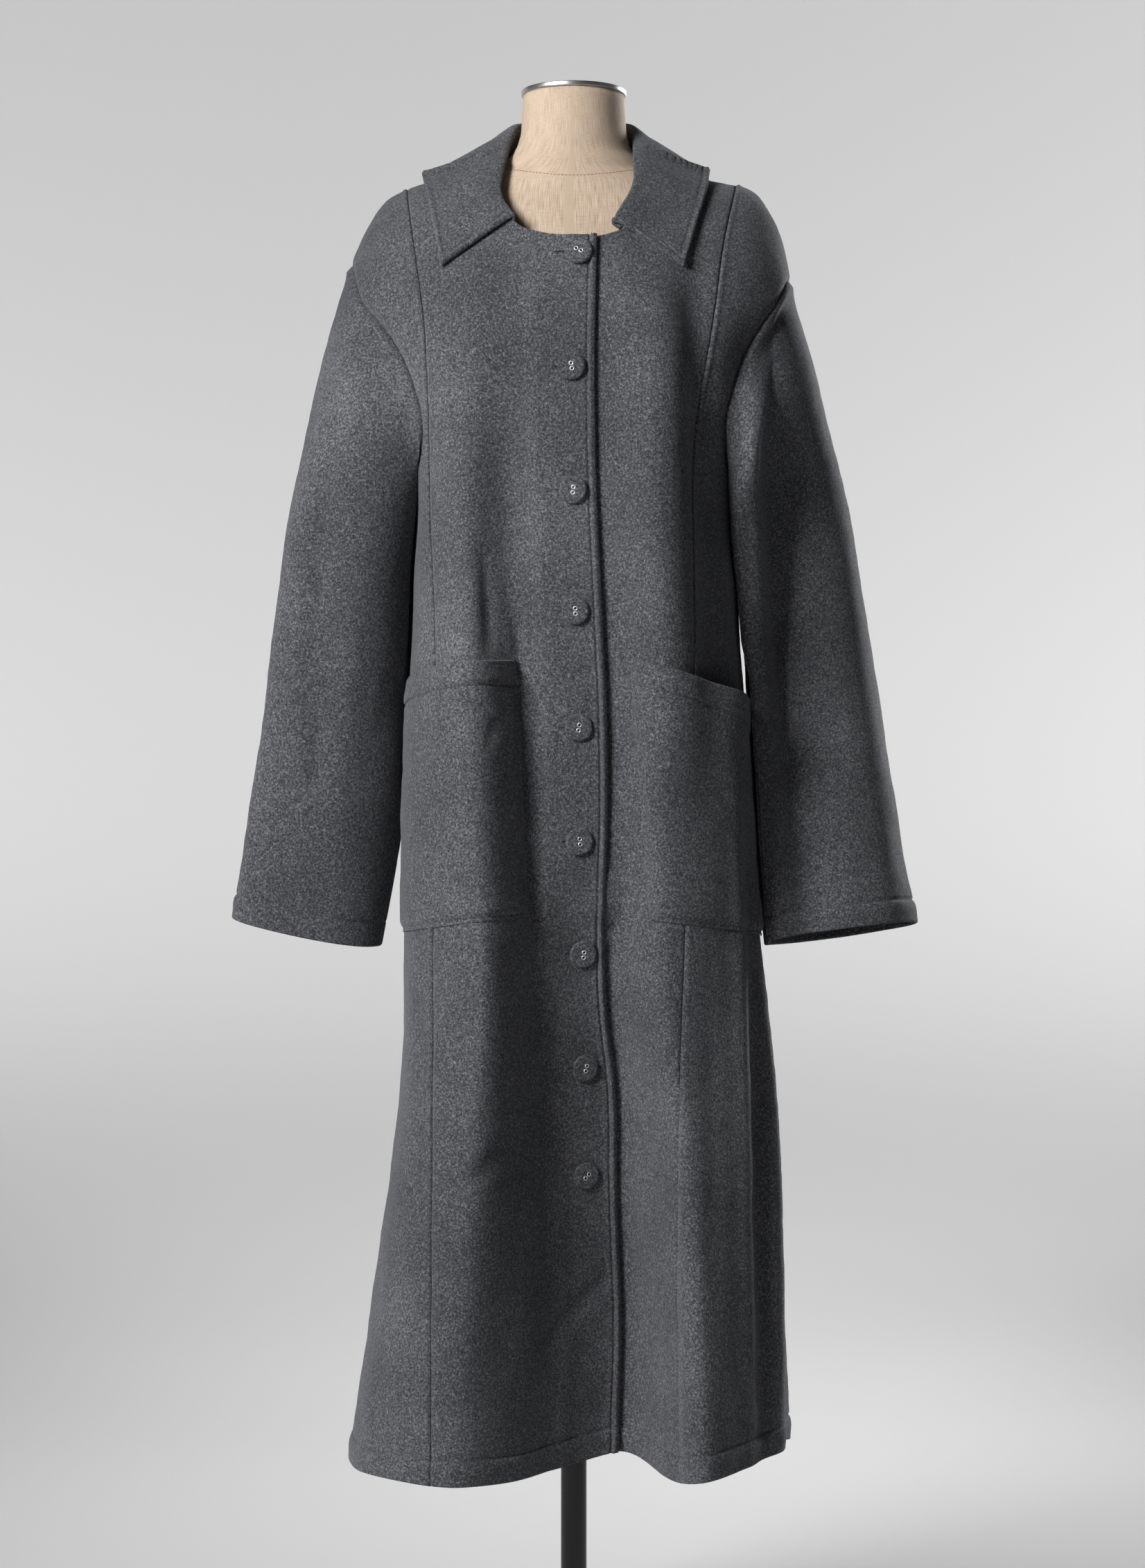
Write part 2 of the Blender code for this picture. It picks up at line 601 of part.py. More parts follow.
# Pockets
def pocket_grid(side):
    """A patch pocket laid on the front and side front, its mouth standing off a little."""
    pocket = POCKET_RIGHT if side < 0 else POCKET_LEFT
    share = np.linspace(0, 1, POCKET_COLUMNS + 1)[None, :]
    climb = np.linspace(0, 1, POCKET_ROWS + 1)[:, None]
    bottom = pocket.bottom_in + (pocket.bottom_out - pocket.bottom_in) * share
    top = pocket.top_in + (pocket.top_out - pocket.top_in) * share
    heights = bottom + (top - bottom) * climb
    inner = pocket.bottom_x + (pocket.top_x - pocket.bottom_x) * climb
    start = np.abs(ring_angle(side * np.broadcast_to(inner, heights.shape), heights))
    angles = side * (start + (POCKET_SIDE_ANGLE - start) * share)
    points, normals = coat_surface(angles, heights), coat_normal(angles, heights)
    power = math.log(0.5) / math.log(pocket.gape_at)
    swell = np.sin(math.pi * share**power) ** POCKET_SWELL
    off = POCKET_SEAT + COAT_WALL + swell * (POCKET_ROOM * np.sin(math.pi / 2 * climb) + pocket.gape * climb**3)
    if side < 0:
        off = off + lap_rise(points[..., 0], heights)
    return Grid(points + normals * off[..., None], normals)


# Making the objects
def clear_scene():
    for item in list(bpy.data.objects):
        bpy.data.objects.remove(item, do_unlink=True)


def principled(name, colour, roughness, metallic=0.0):
    material = bpy.data.materials.new(name)
    material.use_nodes = True
    shader = material.node_tree.nodes["Principled BSDF"]
    shader.inputs["Base Color"].default_value = colour
    shader.inputs["Roughness"].default_value = roughness
    shader.inputs["Metallic"].default_value = metallic
    return material


def wool(name):
    return principled(name + "_wool", WOOL_COLOUR, 0.95)


def add_object(name, mesh, collection, material):
    item = bpy.data.objects.new(name, mesh)
    mesh.materials.append(material)
    collection.objects.link(item)
    return item


def inset(points, edges):
    """Draw the named edges of a grid back by half of the seam gap."""
    moved = points.copy()
    pairs = {"first": (0, 1), "last": (-1, -2)}
    for edge in edges:
        axis, end = edge.split("_")
        at, inside = pairs[end]
        line = np.moveaxis(points, 0 if axis == "row" else 1, 0)
        target = np.moveaxis(moved, 0 if axis == "row" else 1, 0)
        target[at] += unit(line[inside] - line[at]) * SEAM_GAP / 2
    return moved


def wall_mesh(name, outer, inner, tube=False):
    """A closed wall lofted between two grids of points; a tube's columns close on themselves."""
    rows, columns = outer.shape[:2]
    points = np.concatenate((outer.reshape(-1, 3), inner.reshape(-1, 3)))
    inside = rows * columns

    def at(row, column):
        return row * columns + column % columns

    faces = []
    spans = columns if tube else columns - 1
    for row in range(rows - 1):
        for column in range(spans):
            quad = [at(row, column), at(row, column + 1), at(row + 1, column + 1), at(row + 1, column)]
            faces.append(quad)
            faces.append([inside + corner for corner in reversed(quad)])
    rim = [(at(0, c), at(0, c + 1)) for c in range(spans)]
    rim += [(at(rows - 1, c + 1), at(rows - 1, c)) for c in range(spans)]
    if not tube:
        rim += [(at(r + 1, 0), at(r, 0)) for r in range(rows - 1)]
        rim += [(at(r, columns - 1), at(r + 1, columns - 1)) for r in range(rows - 1)]
    faces += [[second, first, inside + first, inside + second] for first, second in rim]
    mesh = bpy.data.meshes.new(name)
    mesh.from_pydata(points.tolist(), [], faces)
    shaped = bmesh.new()
    shaped.from_mesh(mesh)
    if shaped.calc_volume(signed=True) < 0:
        bmesh.ops.reverse_faces(shaped, faces=shaped.faces)
    shaped.to_mesh(mesh)
    shaped.free()
    mesh.shade_smooth()
    mesh.set_sharp_from_angle(angle=math.radians(40))
    return mesh


def add_wall(name, collection, grid, edges, wall=COAT_WALL, middle=False, tube=False):
    """A cloth piece: its grid as the outer face (or the middle), drawn back at its seams."""
    lift = wall / 2 if middle else 0.0
    outer = inset(grid.points + grid.normals * lift, edges)
    inner = inset(grid.points + grid.normals * (lift - wall), edges)
    return add_object(name, wall_mesh(name, outer, inner, tube), collection, wool(name))


def add_turned(name, profile, steps, collection, material):
    """A turned piece: a profile of (radius, height) from the top down its outer side."""
    mesh = bpy.data.meshes.new(name)
    points = [(radius, 0.0, height) for radius, height in profile]
    edges = [(i, i + 1) for i in range(len(points) - 1)]
    mesh.from_pydata(points, edges, [])
    item = add_object(name, mesh, collection, material)
    screw = item.modifiers.new("turn", "SCREW")
    screw.axis = "Z"
    screw.steps = screw.render_steps = steps
    screw.use_merge_vertices = True
    screw.merge_threshold = 1e-5
    screw.use_smooth_shade = True
    return item


def add_coat(collection):
    """The body panels, sleeves, collar and pockets, which share their seam points."""
    fronts = {side: front_grid(side) for side in (-1, 1)}
    sides = {side: side_grid(side) for side in (-1, 1)}
    back = back_grid()
    names = {-1: "right", 1: "left"}
    add_wall("collar", collection, collar_grid(fronts[-1], back, fronts[1]), (), COLLAR_WALL, middle=True)
    for side in (-1, 1):
        loop, normals = armhole_loop(side, sides[side], back)
        sleeve, armhole = sleeve_grid(side, loop, normals)
        fit_armhole(side, sides[side], back, armhole)
        sleeve.points[0] += armhole.through * SEAM_GAP / 2
        add_wall("sleeve_" + names[side], collection, sleeve, (), tube=True)
        add_wall("pocket_" + names[side], collection, pocket_grid(side), ())
    add_wall("back", collection, back, ("column_first", "column_last", "row_last"))
    walls = {}
    for side in (-1, 1):
        edges = ("column_first", "row_last")
        walls[side] = add_wall("front_" + names[side], collection, fronts[side], edges)
        edges = ("column_first", "column_last", "row_last")
        add_wall("side_front_" + names[side], collection, sides[side], edges)
    return walls[-1]


def add_buttons(collection, front):
    """Covered buttons, each seated on the overlapping front and facing the way it faces."""
    surface = BVHTree.FromPolygons(
        [vertex.co for vertex in front.data.vertices],
        [face.vertices for face in front.data.polygons],
    )
    crown, rim, under = 0.0052, 0.0030, 0.0012
    profile = (
        (0.0, crown),
        (BUTTON_RADIUS * 0.55, crown * 0.94),
        (BUTTON_RADIUS * 0.88, crown * 0.78),
        (BUTTON_RADIUS, rim),
        (BUTTON_RADIUS * 0.93, under),
        (BUTTON_HUB, under),
        (BUTTON_HUB * 0.8, 0.0),
        (0.0, 0.0),
    )
    for number, place in enumerate(BUTTONS, start=1):
        name = f"button_{number}"
        button = add_turned(name, profile, BUTTON_STEPS, collection, wool(name))
        seat, facing = surface.ray_cast(Vector((place.across, -1.0, place.height)), Vector((0, 1, 0)))[:2]
        button.matrix_world = Matrix.Translation(seat + facing * BUTTON_SEAT) @ (
            facing.to_track_quat("Z", "Y").to_matrix().to_4x4()
        )


def fitted_hollow(depth, half, height, drop, at_back):
    """How hollow a level ring's sides are made so that they stay under the coat's shoulder."""
    angle = np.radians(np.arange(5, 85, 5))
    x = half * np.sin(angle)
    climb = np.minimum((height + drop - CHEST) / (ridge_height(x) - CHEST), 1)
    away = np.abs(coat_over(x, 2 - climb if at_back else climb)[0][:, 1] - RIDGE_Y)
    room = np.maximum(away - FORM_CLEARANCE, FORM_CLEARANCE)
    hollow = np.log(room / depth) / np.log(np.cos(angle))
    return max([1.0, *hollow[x > NECK_HALF]])


def form_rings():
    """The dress form's rings with how hollow each is, its shoulders just under the coat's shoulder seams."""
    body = [(ring, FORM_SHOULDER[0].drop) for ring in FORM_BODY]
    for row in FORM_SHOULDER:
        height = float(ridge_height(row.half)) - row.drop
        body.append((FormRing(height, row.half, row.front, row.back), row.drop))
    rings = []
    for ring, drop in body:
        hollows = [1.0, 1.0]
        if ring.height > FORM_FITTED_ABOVE:
            hollows[0] = fitted_hollow(ring.front, ring.half, ring.height, drop, False)
            hollows[1] = fitted_hollow(ring.back, ring.half, ring.height, drop, True)
        rings.append((ring, hollows))
    return rings + [(ring, [1.0, 1.0]) for ring in FORM_NECK]


def add_form(collection):
    """The padded torso and neck, lofted through level rings and closed at both ends."""
    angle = 2 * math.pi * np.arange(FORM_COLUMNS) / FORM_COLUMNS
    sine, cosine = np.sin(angle), np.cos(angle)
    shaped = bmesh.new()
    rings = []
    for ring, (front_hollow, back_hollow) in form_rings():
        x = ring.half * sine
        back_set = RIDGE_Y * smoothstep((ring.height - CHEST) / (SHOULDER - CHEST))
        back_set = back_set * (1 - smoothstep((ring.height - SHOULDER) / FORM_NECK_BLEND))
        front = ring.front * np.maximum(cosine, 0) ** front_hollow
        back = ring.back * np.maximum(-cosine, 0) ** back_hollow
        y = back_set - front + back
        rings.append([shaped.verts.new((a, b, ring.height)) for a, b in zip(x, y)])
    for low, high in zip(rings, rings[1:]):
        for i in range(FORM_COLUMNS):
            j = (i + 1) % FORM_COLUMNS
            shaped.faces.new((low[i], low[j], high[j], high[i]))
    shaped.faces.new(rings[0])
    shaped.faces.new(rings[-1])
    bmesh.ops.recalc_face_normals(shaped, faces=shaped.faces)
    mesh = bpy.data.meshes.new("form_torso")
    shaped.to_mesh(mesh)
    shaped.free()
    mesh.shade_smooth()
    mesh.set_sharp_from_angle(angle=math.radians(50))
    add_object("form_torso", mesh, collection, principled("linen", LINEN_COLOUR, 0.9))


def add_stand(collection):
    """Neck cap, pole and base plate."""
    seat = FORM_NECK[-1].height + SEAM_GAP
    cap = (
        (0.0, seat + CAP_THICKNESS),
        (CAP_RADIUS - CAP_SKIRT, seat + CAP_THICKNESS),
        (CAP_RADIUS, seat + CAP_THICKNESS - CAP_SKIRT),
        (CAP_RADIUS, seat + CAP_SKIRT),
        (CAP_RADIUS - CAP_SKIRT, seat),
        (0.0, seat),
    )
    add_turned("neck_cap", cap, ROUND_STEPS, collection, principled("cap_metal", METAL_COLOUR, 0.2, 1.0))
    base = (
        (0.0, BASE_THICKNESS + SOCKET_HEIGHT),
        (SOCKET_RADIUS, BASE_THICKNESS + SOCKET_HEIGHT),
        (SOCKET_RADIUS, BASE_THICKNESS),
        (BASE_RADIUS - 0.003, BASE_THICKNESS),
        (BASE_RADIUS, BASE_THICKNESS - 0.003),
        (BASE_RADIUS, 0.0),
        (0.0, 0.0),
    )
    add_turned("base", base, ROUND_STEPS, collection, principled("base_black", BLACK_COLOUR, 0.4, 0.3))
    low = BASE_THICKNESS + SOCKET_HEIGHT + SEAM_GAP
    high = FORM_BODY[0].height - SEAM_GAP
    bpy.ops.mesh.primitive_cylinder_add(
        vertices=ROUND_STEPS, radius=POLE_RADIUS, depth=high - low, location=(0, 0, (low + high) / 2)
    )
    pole = bpy.context.object
    pole.name = pole.data.name = "pole"
    pole.data.materials.append(principled("pole_black", BLACK_COLOUR, 0.35, 0.3))
    for other in list(pole.users_collection):
        other.objects.unlink(pole)
    collection.objects.link(pole)


def main():
    clear_scene()
    collection = bpy.data.collections.new("long_coat_on_dress_form")
    bpy.context.scene.collection.children.link(collection)
    front = add_coat(collection)
    add_buttons(collection, front)
    add_form(collection)
    add_stand(collection)


main()
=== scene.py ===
"""The dressed model of a long wool coat on a limbless dress form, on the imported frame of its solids."""

import math
from collections import namedtuple

import bpy
import numpy as np
from mathutils import Matrix, Vector
from mathutils.bvhtree import BVHTree


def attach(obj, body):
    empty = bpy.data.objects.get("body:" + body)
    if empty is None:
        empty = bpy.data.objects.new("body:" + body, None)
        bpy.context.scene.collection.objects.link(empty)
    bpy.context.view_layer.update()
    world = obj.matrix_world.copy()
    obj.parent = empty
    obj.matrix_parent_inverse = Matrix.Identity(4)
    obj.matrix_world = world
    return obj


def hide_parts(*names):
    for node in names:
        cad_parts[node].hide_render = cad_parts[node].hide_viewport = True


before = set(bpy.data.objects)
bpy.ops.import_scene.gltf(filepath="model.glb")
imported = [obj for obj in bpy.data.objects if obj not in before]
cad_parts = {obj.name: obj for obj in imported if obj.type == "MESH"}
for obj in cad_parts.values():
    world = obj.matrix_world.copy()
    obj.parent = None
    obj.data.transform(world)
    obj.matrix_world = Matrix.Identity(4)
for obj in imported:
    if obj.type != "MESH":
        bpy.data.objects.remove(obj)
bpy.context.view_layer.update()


def rows_of(kind, rows):
    """A table's rows with their columns named."""
    return tuple(kind(*row) for row in rows)


# Sides of the coat as the wearer has them, its cloth and its seams
SIDE_NAMES = {-1: "right", 1: "left"}
COAT_WALL = 0.0025
COLLAR_WALL = 0.0042
SEAM_GAP = 0.00003

# Levels of the coat body: hem edge, underarm and the shoulder seam where it meets the front panel seam
HEM = 0.272
CHEST = 1.205
SHOULDER = 1.500
LOWER_ROWS = 204
UPPER_ROWS = 84
HEM_CROWDING = 0.72

# How square the body's rings are, where the front starts to turn over the shoulder, the shoulder's depth, and
# the small steps that normals are read over
ROUNDNESS = 2 / 2.4
TURN_START = 0.35
RIDGE_Y = 0.010
NORMAL_TURN = 1e-3
NORMAL_CLIMB = 1e-4

# Body rings: half widths on the wearer's right and left, depths to the front and back
Ring = namedtuple("Ring", "height right left front back")
RINGS = rows_of(Ring, (
    (0.272, 0.2195, 0.2090, 0.145, 0.178),
    (0.450, 0.1918, 0.2030, 0.140, 0.160),
    (0.650, 0.1668, 0.1925, 0.134, 0.146),
    (0.800, 0.1650, 0.1785, 0.131, 0.135),
    (0.950, 0.1625, 0.1690, 0.131, 0.126),
    (1.100, 0.1560, 0.1600, 0.133, 0.118),
    (1.205, 0.1540, 0.1545, 0.136, 0.115),
    (1.300, 0.1720, 0.1720, 0.136, 0.115),
    (1.400, 0.2240, 0.2190, 0.122, 0.106),
    (1.500, 0.2450, 0.2380, 0.106, 0.092),
))

# Shoulder line: its height at each distance from the middle, on each side; it runs on up inside the neck
Ridge = namedtuple("Ridge", "reach right left")
RIDGE = rows_of(Ridge, (
    (0.0000, 1.5900, 1.5900),
    (0.0450, 1.5580, 1.5580),
    (0.0680, 1.5350, 1.5350),
    (0.0900, 1.5230, 1.5230),
    (0.1200, 1.5130, 1.5130),
    (0.1500, 1.5060, 1.5060),
    (0.1650, 1.5005, 1.5035),
    (0.1860, 1.4870, 1.4865),
    (0.2020, 1.4605, 1.4525),
    (0.2185, 1.4270, 1.3790),
))

# Panel seams from shoulder to hem: distance from the middle at each height
PanelSeam = namedtuple("PanelSeam", "height right left")
PANEL_SEAMS = rows_of(PanelSeam, (
    (0.272, 0.1330, 0.0987),
    (0.608, 0.1315, 0.0980),
    (0.785, 0.1310, 0.1050),
    (1.067, 0.1310, 0.1135),
    (1.205, 0.1370, 0.1160),
    (1.280, 0.1380, 0.1250),
    (1.350, 0.1415, 0.1330),
    (1.433, 0.1530, 0.1440),
    (1.500, 0.1630, 0.1590),
))

# Free edge of the front that laps over: its distance to the left of the middle
FrontEdge = namedtuple("FrontEdge", "height left")
FRONT_EDGE = rows_of(FrontEdge, (
    (0.272, 0.0425),
    (0.400, 0.0455),
    (0.520, 0.0415),
    (0.640, 0.0388),
    (0.700, 0.0318),
    (0.780, 0.0288),
    (0.880, 0.0318),
    (0.970, 0.0315),
    (1.080, 0.0268),
    (1.200, 0.0214),
    (1.330, 0.0198),
    (1.500, 0.0215),
))
UNDERLAP = 0.045
LAP_RISE = 0.0042
LAP_RAMP_FROM = 0.025
LAP_RAMP_TO = 0.008

# Folds: angle round the body in degrees (0 is the front, 90 the wearer's left) at the hem and where the fold
# fades out, its spread in degrees, how far it stands out (or in) at the hem, and how far it lifts the hem
Fold = namedtuple("Fold", "hem_angle top_angle spread reach lift fades_at")
FOLDS = rows_of(Fold, (
    (-31, -52, 14, 0.000, -0.002, 1.20),
    (-9, -19, 9, 0.000, -0.003, 1.20),
    (10, 8, 9, 0.000, 0.008, 0.86),
    (21, 21, 7, 0.000, -0.007, 0.60),
    (72, 72, 26, 0.000, 0.010, 0.80),
    (88, 88, 9, -0.013, 0.000, 0.80),
    (108, 106, 11, 0.014, -0.006, 0.85),
    (138, 144, 14, 0.024, 0.000, 0.95),
    (158, 160, 12, -0.020, 0.006, 0.90),
    (178, 176, 12, 0.018, 0.000, 0.92),
    (-160, -162, 12, -0.022, 0.007, 0.88),
    (-140, -147, 15, 0.022, 0.000, 0.98),
    (-104, -104, 12, -0.010, -0.002, 0.75),
))
FOLD_GROWTH = 1.2

# The deep pleat down the front, hem first: how far its left part stands out, the wall's place and half width,
# how far the middle and the lapped edge lie in, and the place and reach of the flute on the right
Pleat = namedtuple("Pleat", "height left_out wall_x wall_half panel_in edge_in right_x right_out")
PLEATS = rows_of(Pleat, (
    (0.272, 0.030, -0.056, 0.060, -0.050, -0.094, 0.126, 0.026),
    (0.420, 0.040, -0.054, 0.056, -0.052, -0.092, 0.122, 0.019),
    (0.520, 0.046, -0.053, 0.050, -0.050, -0.082, 0.114, 0.014),
    (0.620, 0.050, -0.053, 0.042, -0.042, -0.066, 0.106, 0.009),
    (0.715, 0.054, -0.053, 0.034, -0.026, -0.048, 0.092, 0.004),
    (0.810, 0.054, -0.058, 0.031, -0.010, -0.028, 0.092, 0.004),
    (0.910, 0.050, -0.064, 0.031, -0.014, -0.023, 0.086, 0.006),
    (1.000, 0.038, -0.070, 0.030, -0.016, -0.018, 0.094, 0.014),
    (1.100, 0.026, -0.080, 0.027, -0.014, -0.011, 0.086, 0.020),
    (1.200, 0.020, -0.083, 0.027, -0.012, -0.008, 0.080, 0.020),
    (1.290, 0.004, -0.083, 0.026, -0.008, -0.002, 0.076, 0.014),
    (1.380, 0.000, -0.083, 0.026, -0.003, 0.002, 0.074, 0.004),
    (1.450, 0.000, -0.083, 0.026, 0.000, 0.000, 0.074, 0.000),
))
PLEAT_FOOT = 0.172
PLEAT_TURN = 0.45

# Neck opening: half width at the shoulder, drop to the front and back, and how square each curve is
NECK_HALF = 0.078
NECK_DROP_FRONT = 0.095
NECK_DROP_BACK = 0.008
NECK_SQUARE_FRONT = 2.6
NECK_SQUARE_BACK = 2.5
NECK_CROWDING = 1.5

# Armhole: its angle round the body above the bend, how high the bend under the arm reaches, and its rows in
# the side front from the shoulder down
ARM_ANGLE = math.radians(60.6)
ARM_BEND = 0.075
ARMHOLE_FRONT = slice(None, LOWER_ROWS - 1, -1)

# Columns of each panel
SIDE_COLUMNS = 30
RIDGE_COLUMNS = 26
NECK_COLUMNS = 36
LAP_COLUMNS = 28
LAP_CROWDING = 0.65
BACK_NECK_COLUMNS = 40

# Sleeve sections from below the armhole to the cuff: outermost and innermost points, middle and half depth,
# and how far the front is turned inward for each metre of half depth
SleeveSection = namedtuple("SleeveSection", "outer_x outer_z inner_x inner_z middle_y half_depth turn")
SLEEVE_RIGHT = rows_of(SleeveSection, (
    (0.2475, 1.3196, 0.1480, 1.172, -0.005, 0.0825, 0.05),
    (0.2680, 1.2115, 0.1505, 1.100, -0.008, 0.0685, -0.25),
    (0.2835, 1.1034, 0.1560, 1.020, -0.012, 0.0585, -0.45),
    (0.2955, 0.9953, 0.1605, 0.935, -0.018, 0.0505, -0.55),
    (0.3113, 0.8872, 0.1735, 0.845, -0.026, 0.0445, -0.60),
    (0.3260, 0.7940, 0.1880, 0.762, -0.032, 0.0385, -0.60),
))
SLEEVE_LEFT = rows_of(SleeveSection, (
    (0.2370, 1.3196, 0.1485, 1.172, 0.002, 0.0905, 0.20),
    (0.2625, 1.2115, 0.1525, 1.100, 0.018, 0.0835, 0.45),
    (0.2803, 1.1034, 0.1585, 1.020, 0.027, 0.0775, 0.55),
    (0.2975, 0.9953, 0.1640, 0.935, 0.028, 0.0705, 0.65),
    (0.3153, 0.8872, 0.1685, 0.845, 0.020, 0.0620, 0.75),
    (0.3345, 0.7865, 0.1795, 0.760, 0.008, 0.0520, 0.90),
))
SLEEVE_ROUNDNESS = 0.85
SLEEVE_ROWS = 146
CUFF_CROWDING = 0.7
SLEEVE_CLEARANCE = 0.0035
POCKET_CLEARANCE = 0.0045
POCKET_LEVEL = 1.055
CLEARANCE_FADE = 0.030
CLOSER_BEHIND = 0.6
CLEAR_BELOW = 1.255

# Collar stations from its right end (-1) round the back (0) to its left end (1): the roll line's point, the
# outer edge's place across and over the shoulder (0 chest, 1 shoulder line, 2 back), its height off the coat,
# and how far the leaf sags between roll and edge
CollarStation = namedtuple("CollarStation", "place roll_x roll_y roll_z across over lift sag")
COLLAR = rows_of(CollarStation, (
    (-1.00, -0.0565, -0.0945, 1.4550, -0.1244, 0.660, 0.0034, 0.000),
    (-0.75, -0.0710, -0.0640, 1.4870, -0.1340, 0.820, 0.0036, 0.002),
    (-0.60, -0.0665, -0.0360, 1.5200, -0.1410, 0.930, 0.0046, 0.005),
    (-0.50, -0.0610, 0.0020, 1.5495, -0.1450, 1.000, 0.0048, 0.008),
    (-0.25, -0.0430, 0.0460, 1.5710, -0.1080, 1.170, 0.0060, 0.008),
    (0.00, 0.0000, 0.0640, 1.5770, 0.0000, 1.320, 0.0052, 0.004),
    (0.25, 0.0430, 0.0460, 1.5710, 0.1040, 1.170, 0.0060, 0.008),
    (0.50, 0.0590, 0.0040, 1.5510, 0.1300, 1.000, 0.0048, 0.008),
    (0.60, 0.0585, -0.0360, 1.5250, 0.1270, 0.920, 0.0038, 0.005),
    (0.75, 0.0570, -0.0620, 1.4940, 0.1160, 0.790, 0.0034, 0.002),
    (1.00, 0.0370, -0.1030, 1.4475, 0.1033, 0.640, 0.0034, 0.000),
))
COLLAR_RIGHT_END = 24
COLLAR_LEFT_END = 28
COLLAR_RISE = 0.014
COLLAR_END_FLAT = 0.65
COLLAR_CREST = 0.004
COLLAR_PULL = 0.55
COLLAR_LANDS = 0.5
COLLAR_CROWDING = 0.9
COLLAR_SEAT = 0.0014
COLLAR_FINER = 3
RIDGE_BLEND = 0.05
STAND_POINTS = 8
LEAF_POINTS = 64

# Patch pockets: the inner edge's distance from the middle and its height at top and bottom, the outer edge's
# heights, how far the mouth stands off, and where along it that is farthest
Pocket = namedtuple("Pocket", "top_x top_in top_out bottom_x bottom_in bottom_out gape gape_at")
POCKET_RIGHT = Pocket(0.0545, 1.037, 1.018, 0.0445, 0.798, 0.777, 0.008, 0.35)
POCKET_LEFT = Pocket(0.0535, 1.038, 0.986, 0.0710, 0.792, 0.772, 0.015, 0.58)
POCKET_SIDE_ANGLE = math.radians(84)
POCKET_COLUMNS = 64
POCKET_ROWS = 170
POCKET_SEAT = 0.0014
POCKET_ROOM = 0.003
POCKET_SWELL = 2.5

# Buttons down the front, from the top: place across and height, the turn of the eyelets' line in degrees,
# and how far to the right or left of it the buttonhole lies
BUTTON_RADIUS = 0.0132
BUTTON_HUB = 0.0045
BUTTON_SEAT = 0.0002
SEAT_POINTS = 24
SEAT_SINK = 0.5
Button = namedtuple("Button", "across height turn hole")
BUTTONS = rows_of(Button, (
    (0.0045, 1.418, -25, -3.0),
    (-0.0020, 1.309, 100, -1.4),
    (-0.0006, 1.1945, 84, -1),
    (0.0016, 1.082, 92, -1),
    (0.0045, 0.973, 80, -1),
    (0.0050, 0.866, 95, -1),
    (0.0084, 0.760, 86, -1),
    (0.0103, 0.651, 78, 1),
    (0.0110, 0.547, 45, 1),
))

# Dress form: level rings below the shoulder and up the neck, and the shoulder's own half widths
FormRing = namedtuple("FormRing", "height half front back")
FORM_BODY = rows_of(FormRing, (
    (0.765, 0.060, 0.048, 0.052),
    (0.769, 0.105, 0.080, 0.088),
    (0.785, 0.130, 0.098, 0.106),
    (0.850, 0.145, 0.104, 0.113),
    (0.930, 0.143, 0.103, 0.108),
    (1.020, 0.130, 0.095, 0.092),
    (1.100, 0.117, 0.088, 0.080),
    (1.180, 0.125, 0.099, 0.084),
    (1.270, 0.137, 0.112, 0.090),
    (1.340, 0.145, 0.108, 0.092),
    (1.400, 0.156, 0.098, 0.088),
    (1.440, 0.163, 0.089, 0.082),
    (1.466, 0.164, 0.079, 0.075),
    (1.486, 0.159, 0.069, 0.068),
))
FormShoulder = namedtuple("FormShoulder", "half drop front back")
FORM_SHOULDER = rows_of(FormShoulder, (
    (0.149, 0.0052, 0.065, 0.064),
    (0.130, 0.0052, 0.063, 0.062),
    (0.110, 0.0056, 0.061, 0.060),
    (0.090, 0.0080, 0.059, 0.052),
    (0.073, 0.0095, 0.057, 0.048),
))
FORM_NECK = rows_of(FormRing, (
    (1.532, 0.0610, 0.0540, 0.0540),
    (1.541, 0.0550, 0.0530, 0.0530),
    (1.553, 0.0515, 0.0515, 0.0515),
    (1.5905, 0.0490, 0.0490, 0.0490),
))
HOLLOW_ANGLES = np.radians(np.arange(5, 85, 5))
FORM_CLEARANCE = 0.0045
FORM_FITTED_ABOVE = 1.38
FORM_NECK_BLEND = 0.05

# Neck cap and stand
CAP_RADIUS = 0.0512
CAP_THICKNESS = 0.0045
POLE_RADIUS = 0.0125
BASE_RADIUS = 0.175
BASE_THICKNESS = 0.008
SOCKET_RADIUS = 0.022
SOCKET_HEIGHT = 0.045

# Sewn edges: how far in each stitch line lies, the padding up to it and the groove that the thread draws
HEM_STITCH = 0.025
CUFF_STITCH = 0.023
FRONT_STITCH = 0.0072
POCKET_STITCH = 0.024
COLLAR_STITCH = 0.0065
EDGE_PUFF = 0.0014
EDGE_PUFF_HIGH = 1.8
LAP_GROWTH = 1.7
LAP_LIFT = 0.0024
LAP_THICKER = 0.0022
LAP_WIDTH = 0.016
LAP_TOP = 0.25
LAP_TOP_AT = 1.30
LAP_TOP_FADE = 0.30
Hump = namedtuple("Hump", "height at half")
STITCH_GROOVE = Hump(-0.0013, 0, 0.0014)
COLLAR_GROOVE = Hump(-0.0011, COLLAR_STITCH, 0.0018)
COLLAR_OUTWARD = np.array((0, -0.3, 1.0))
Stitch = namedtuple("Stitch", "length radius pitch")
SEAM_STITCH = Stitch(0.0030, 0.00030, 0.0042)
STITCH_SIDES = 6
STITCH_LOOK = 0.125
STITCH_RINGS = ((-0.5, 0.35), (-0.32, 1.0), (0.32, 1.0), (0.5, 0.35))
HEM_NORMAL_ROW = 20
CUFF_NORMAL_ROW = 14
POCKET_NORMAL_ROW = 12

# Panel seams: the raised edge of the side front and the line sunk beside it
SEAM_RAISE = Hump(0.0013, 0.0022, 0.0018)
SEAM_SINK = Hump(-0.0009, 0, 0.0016)

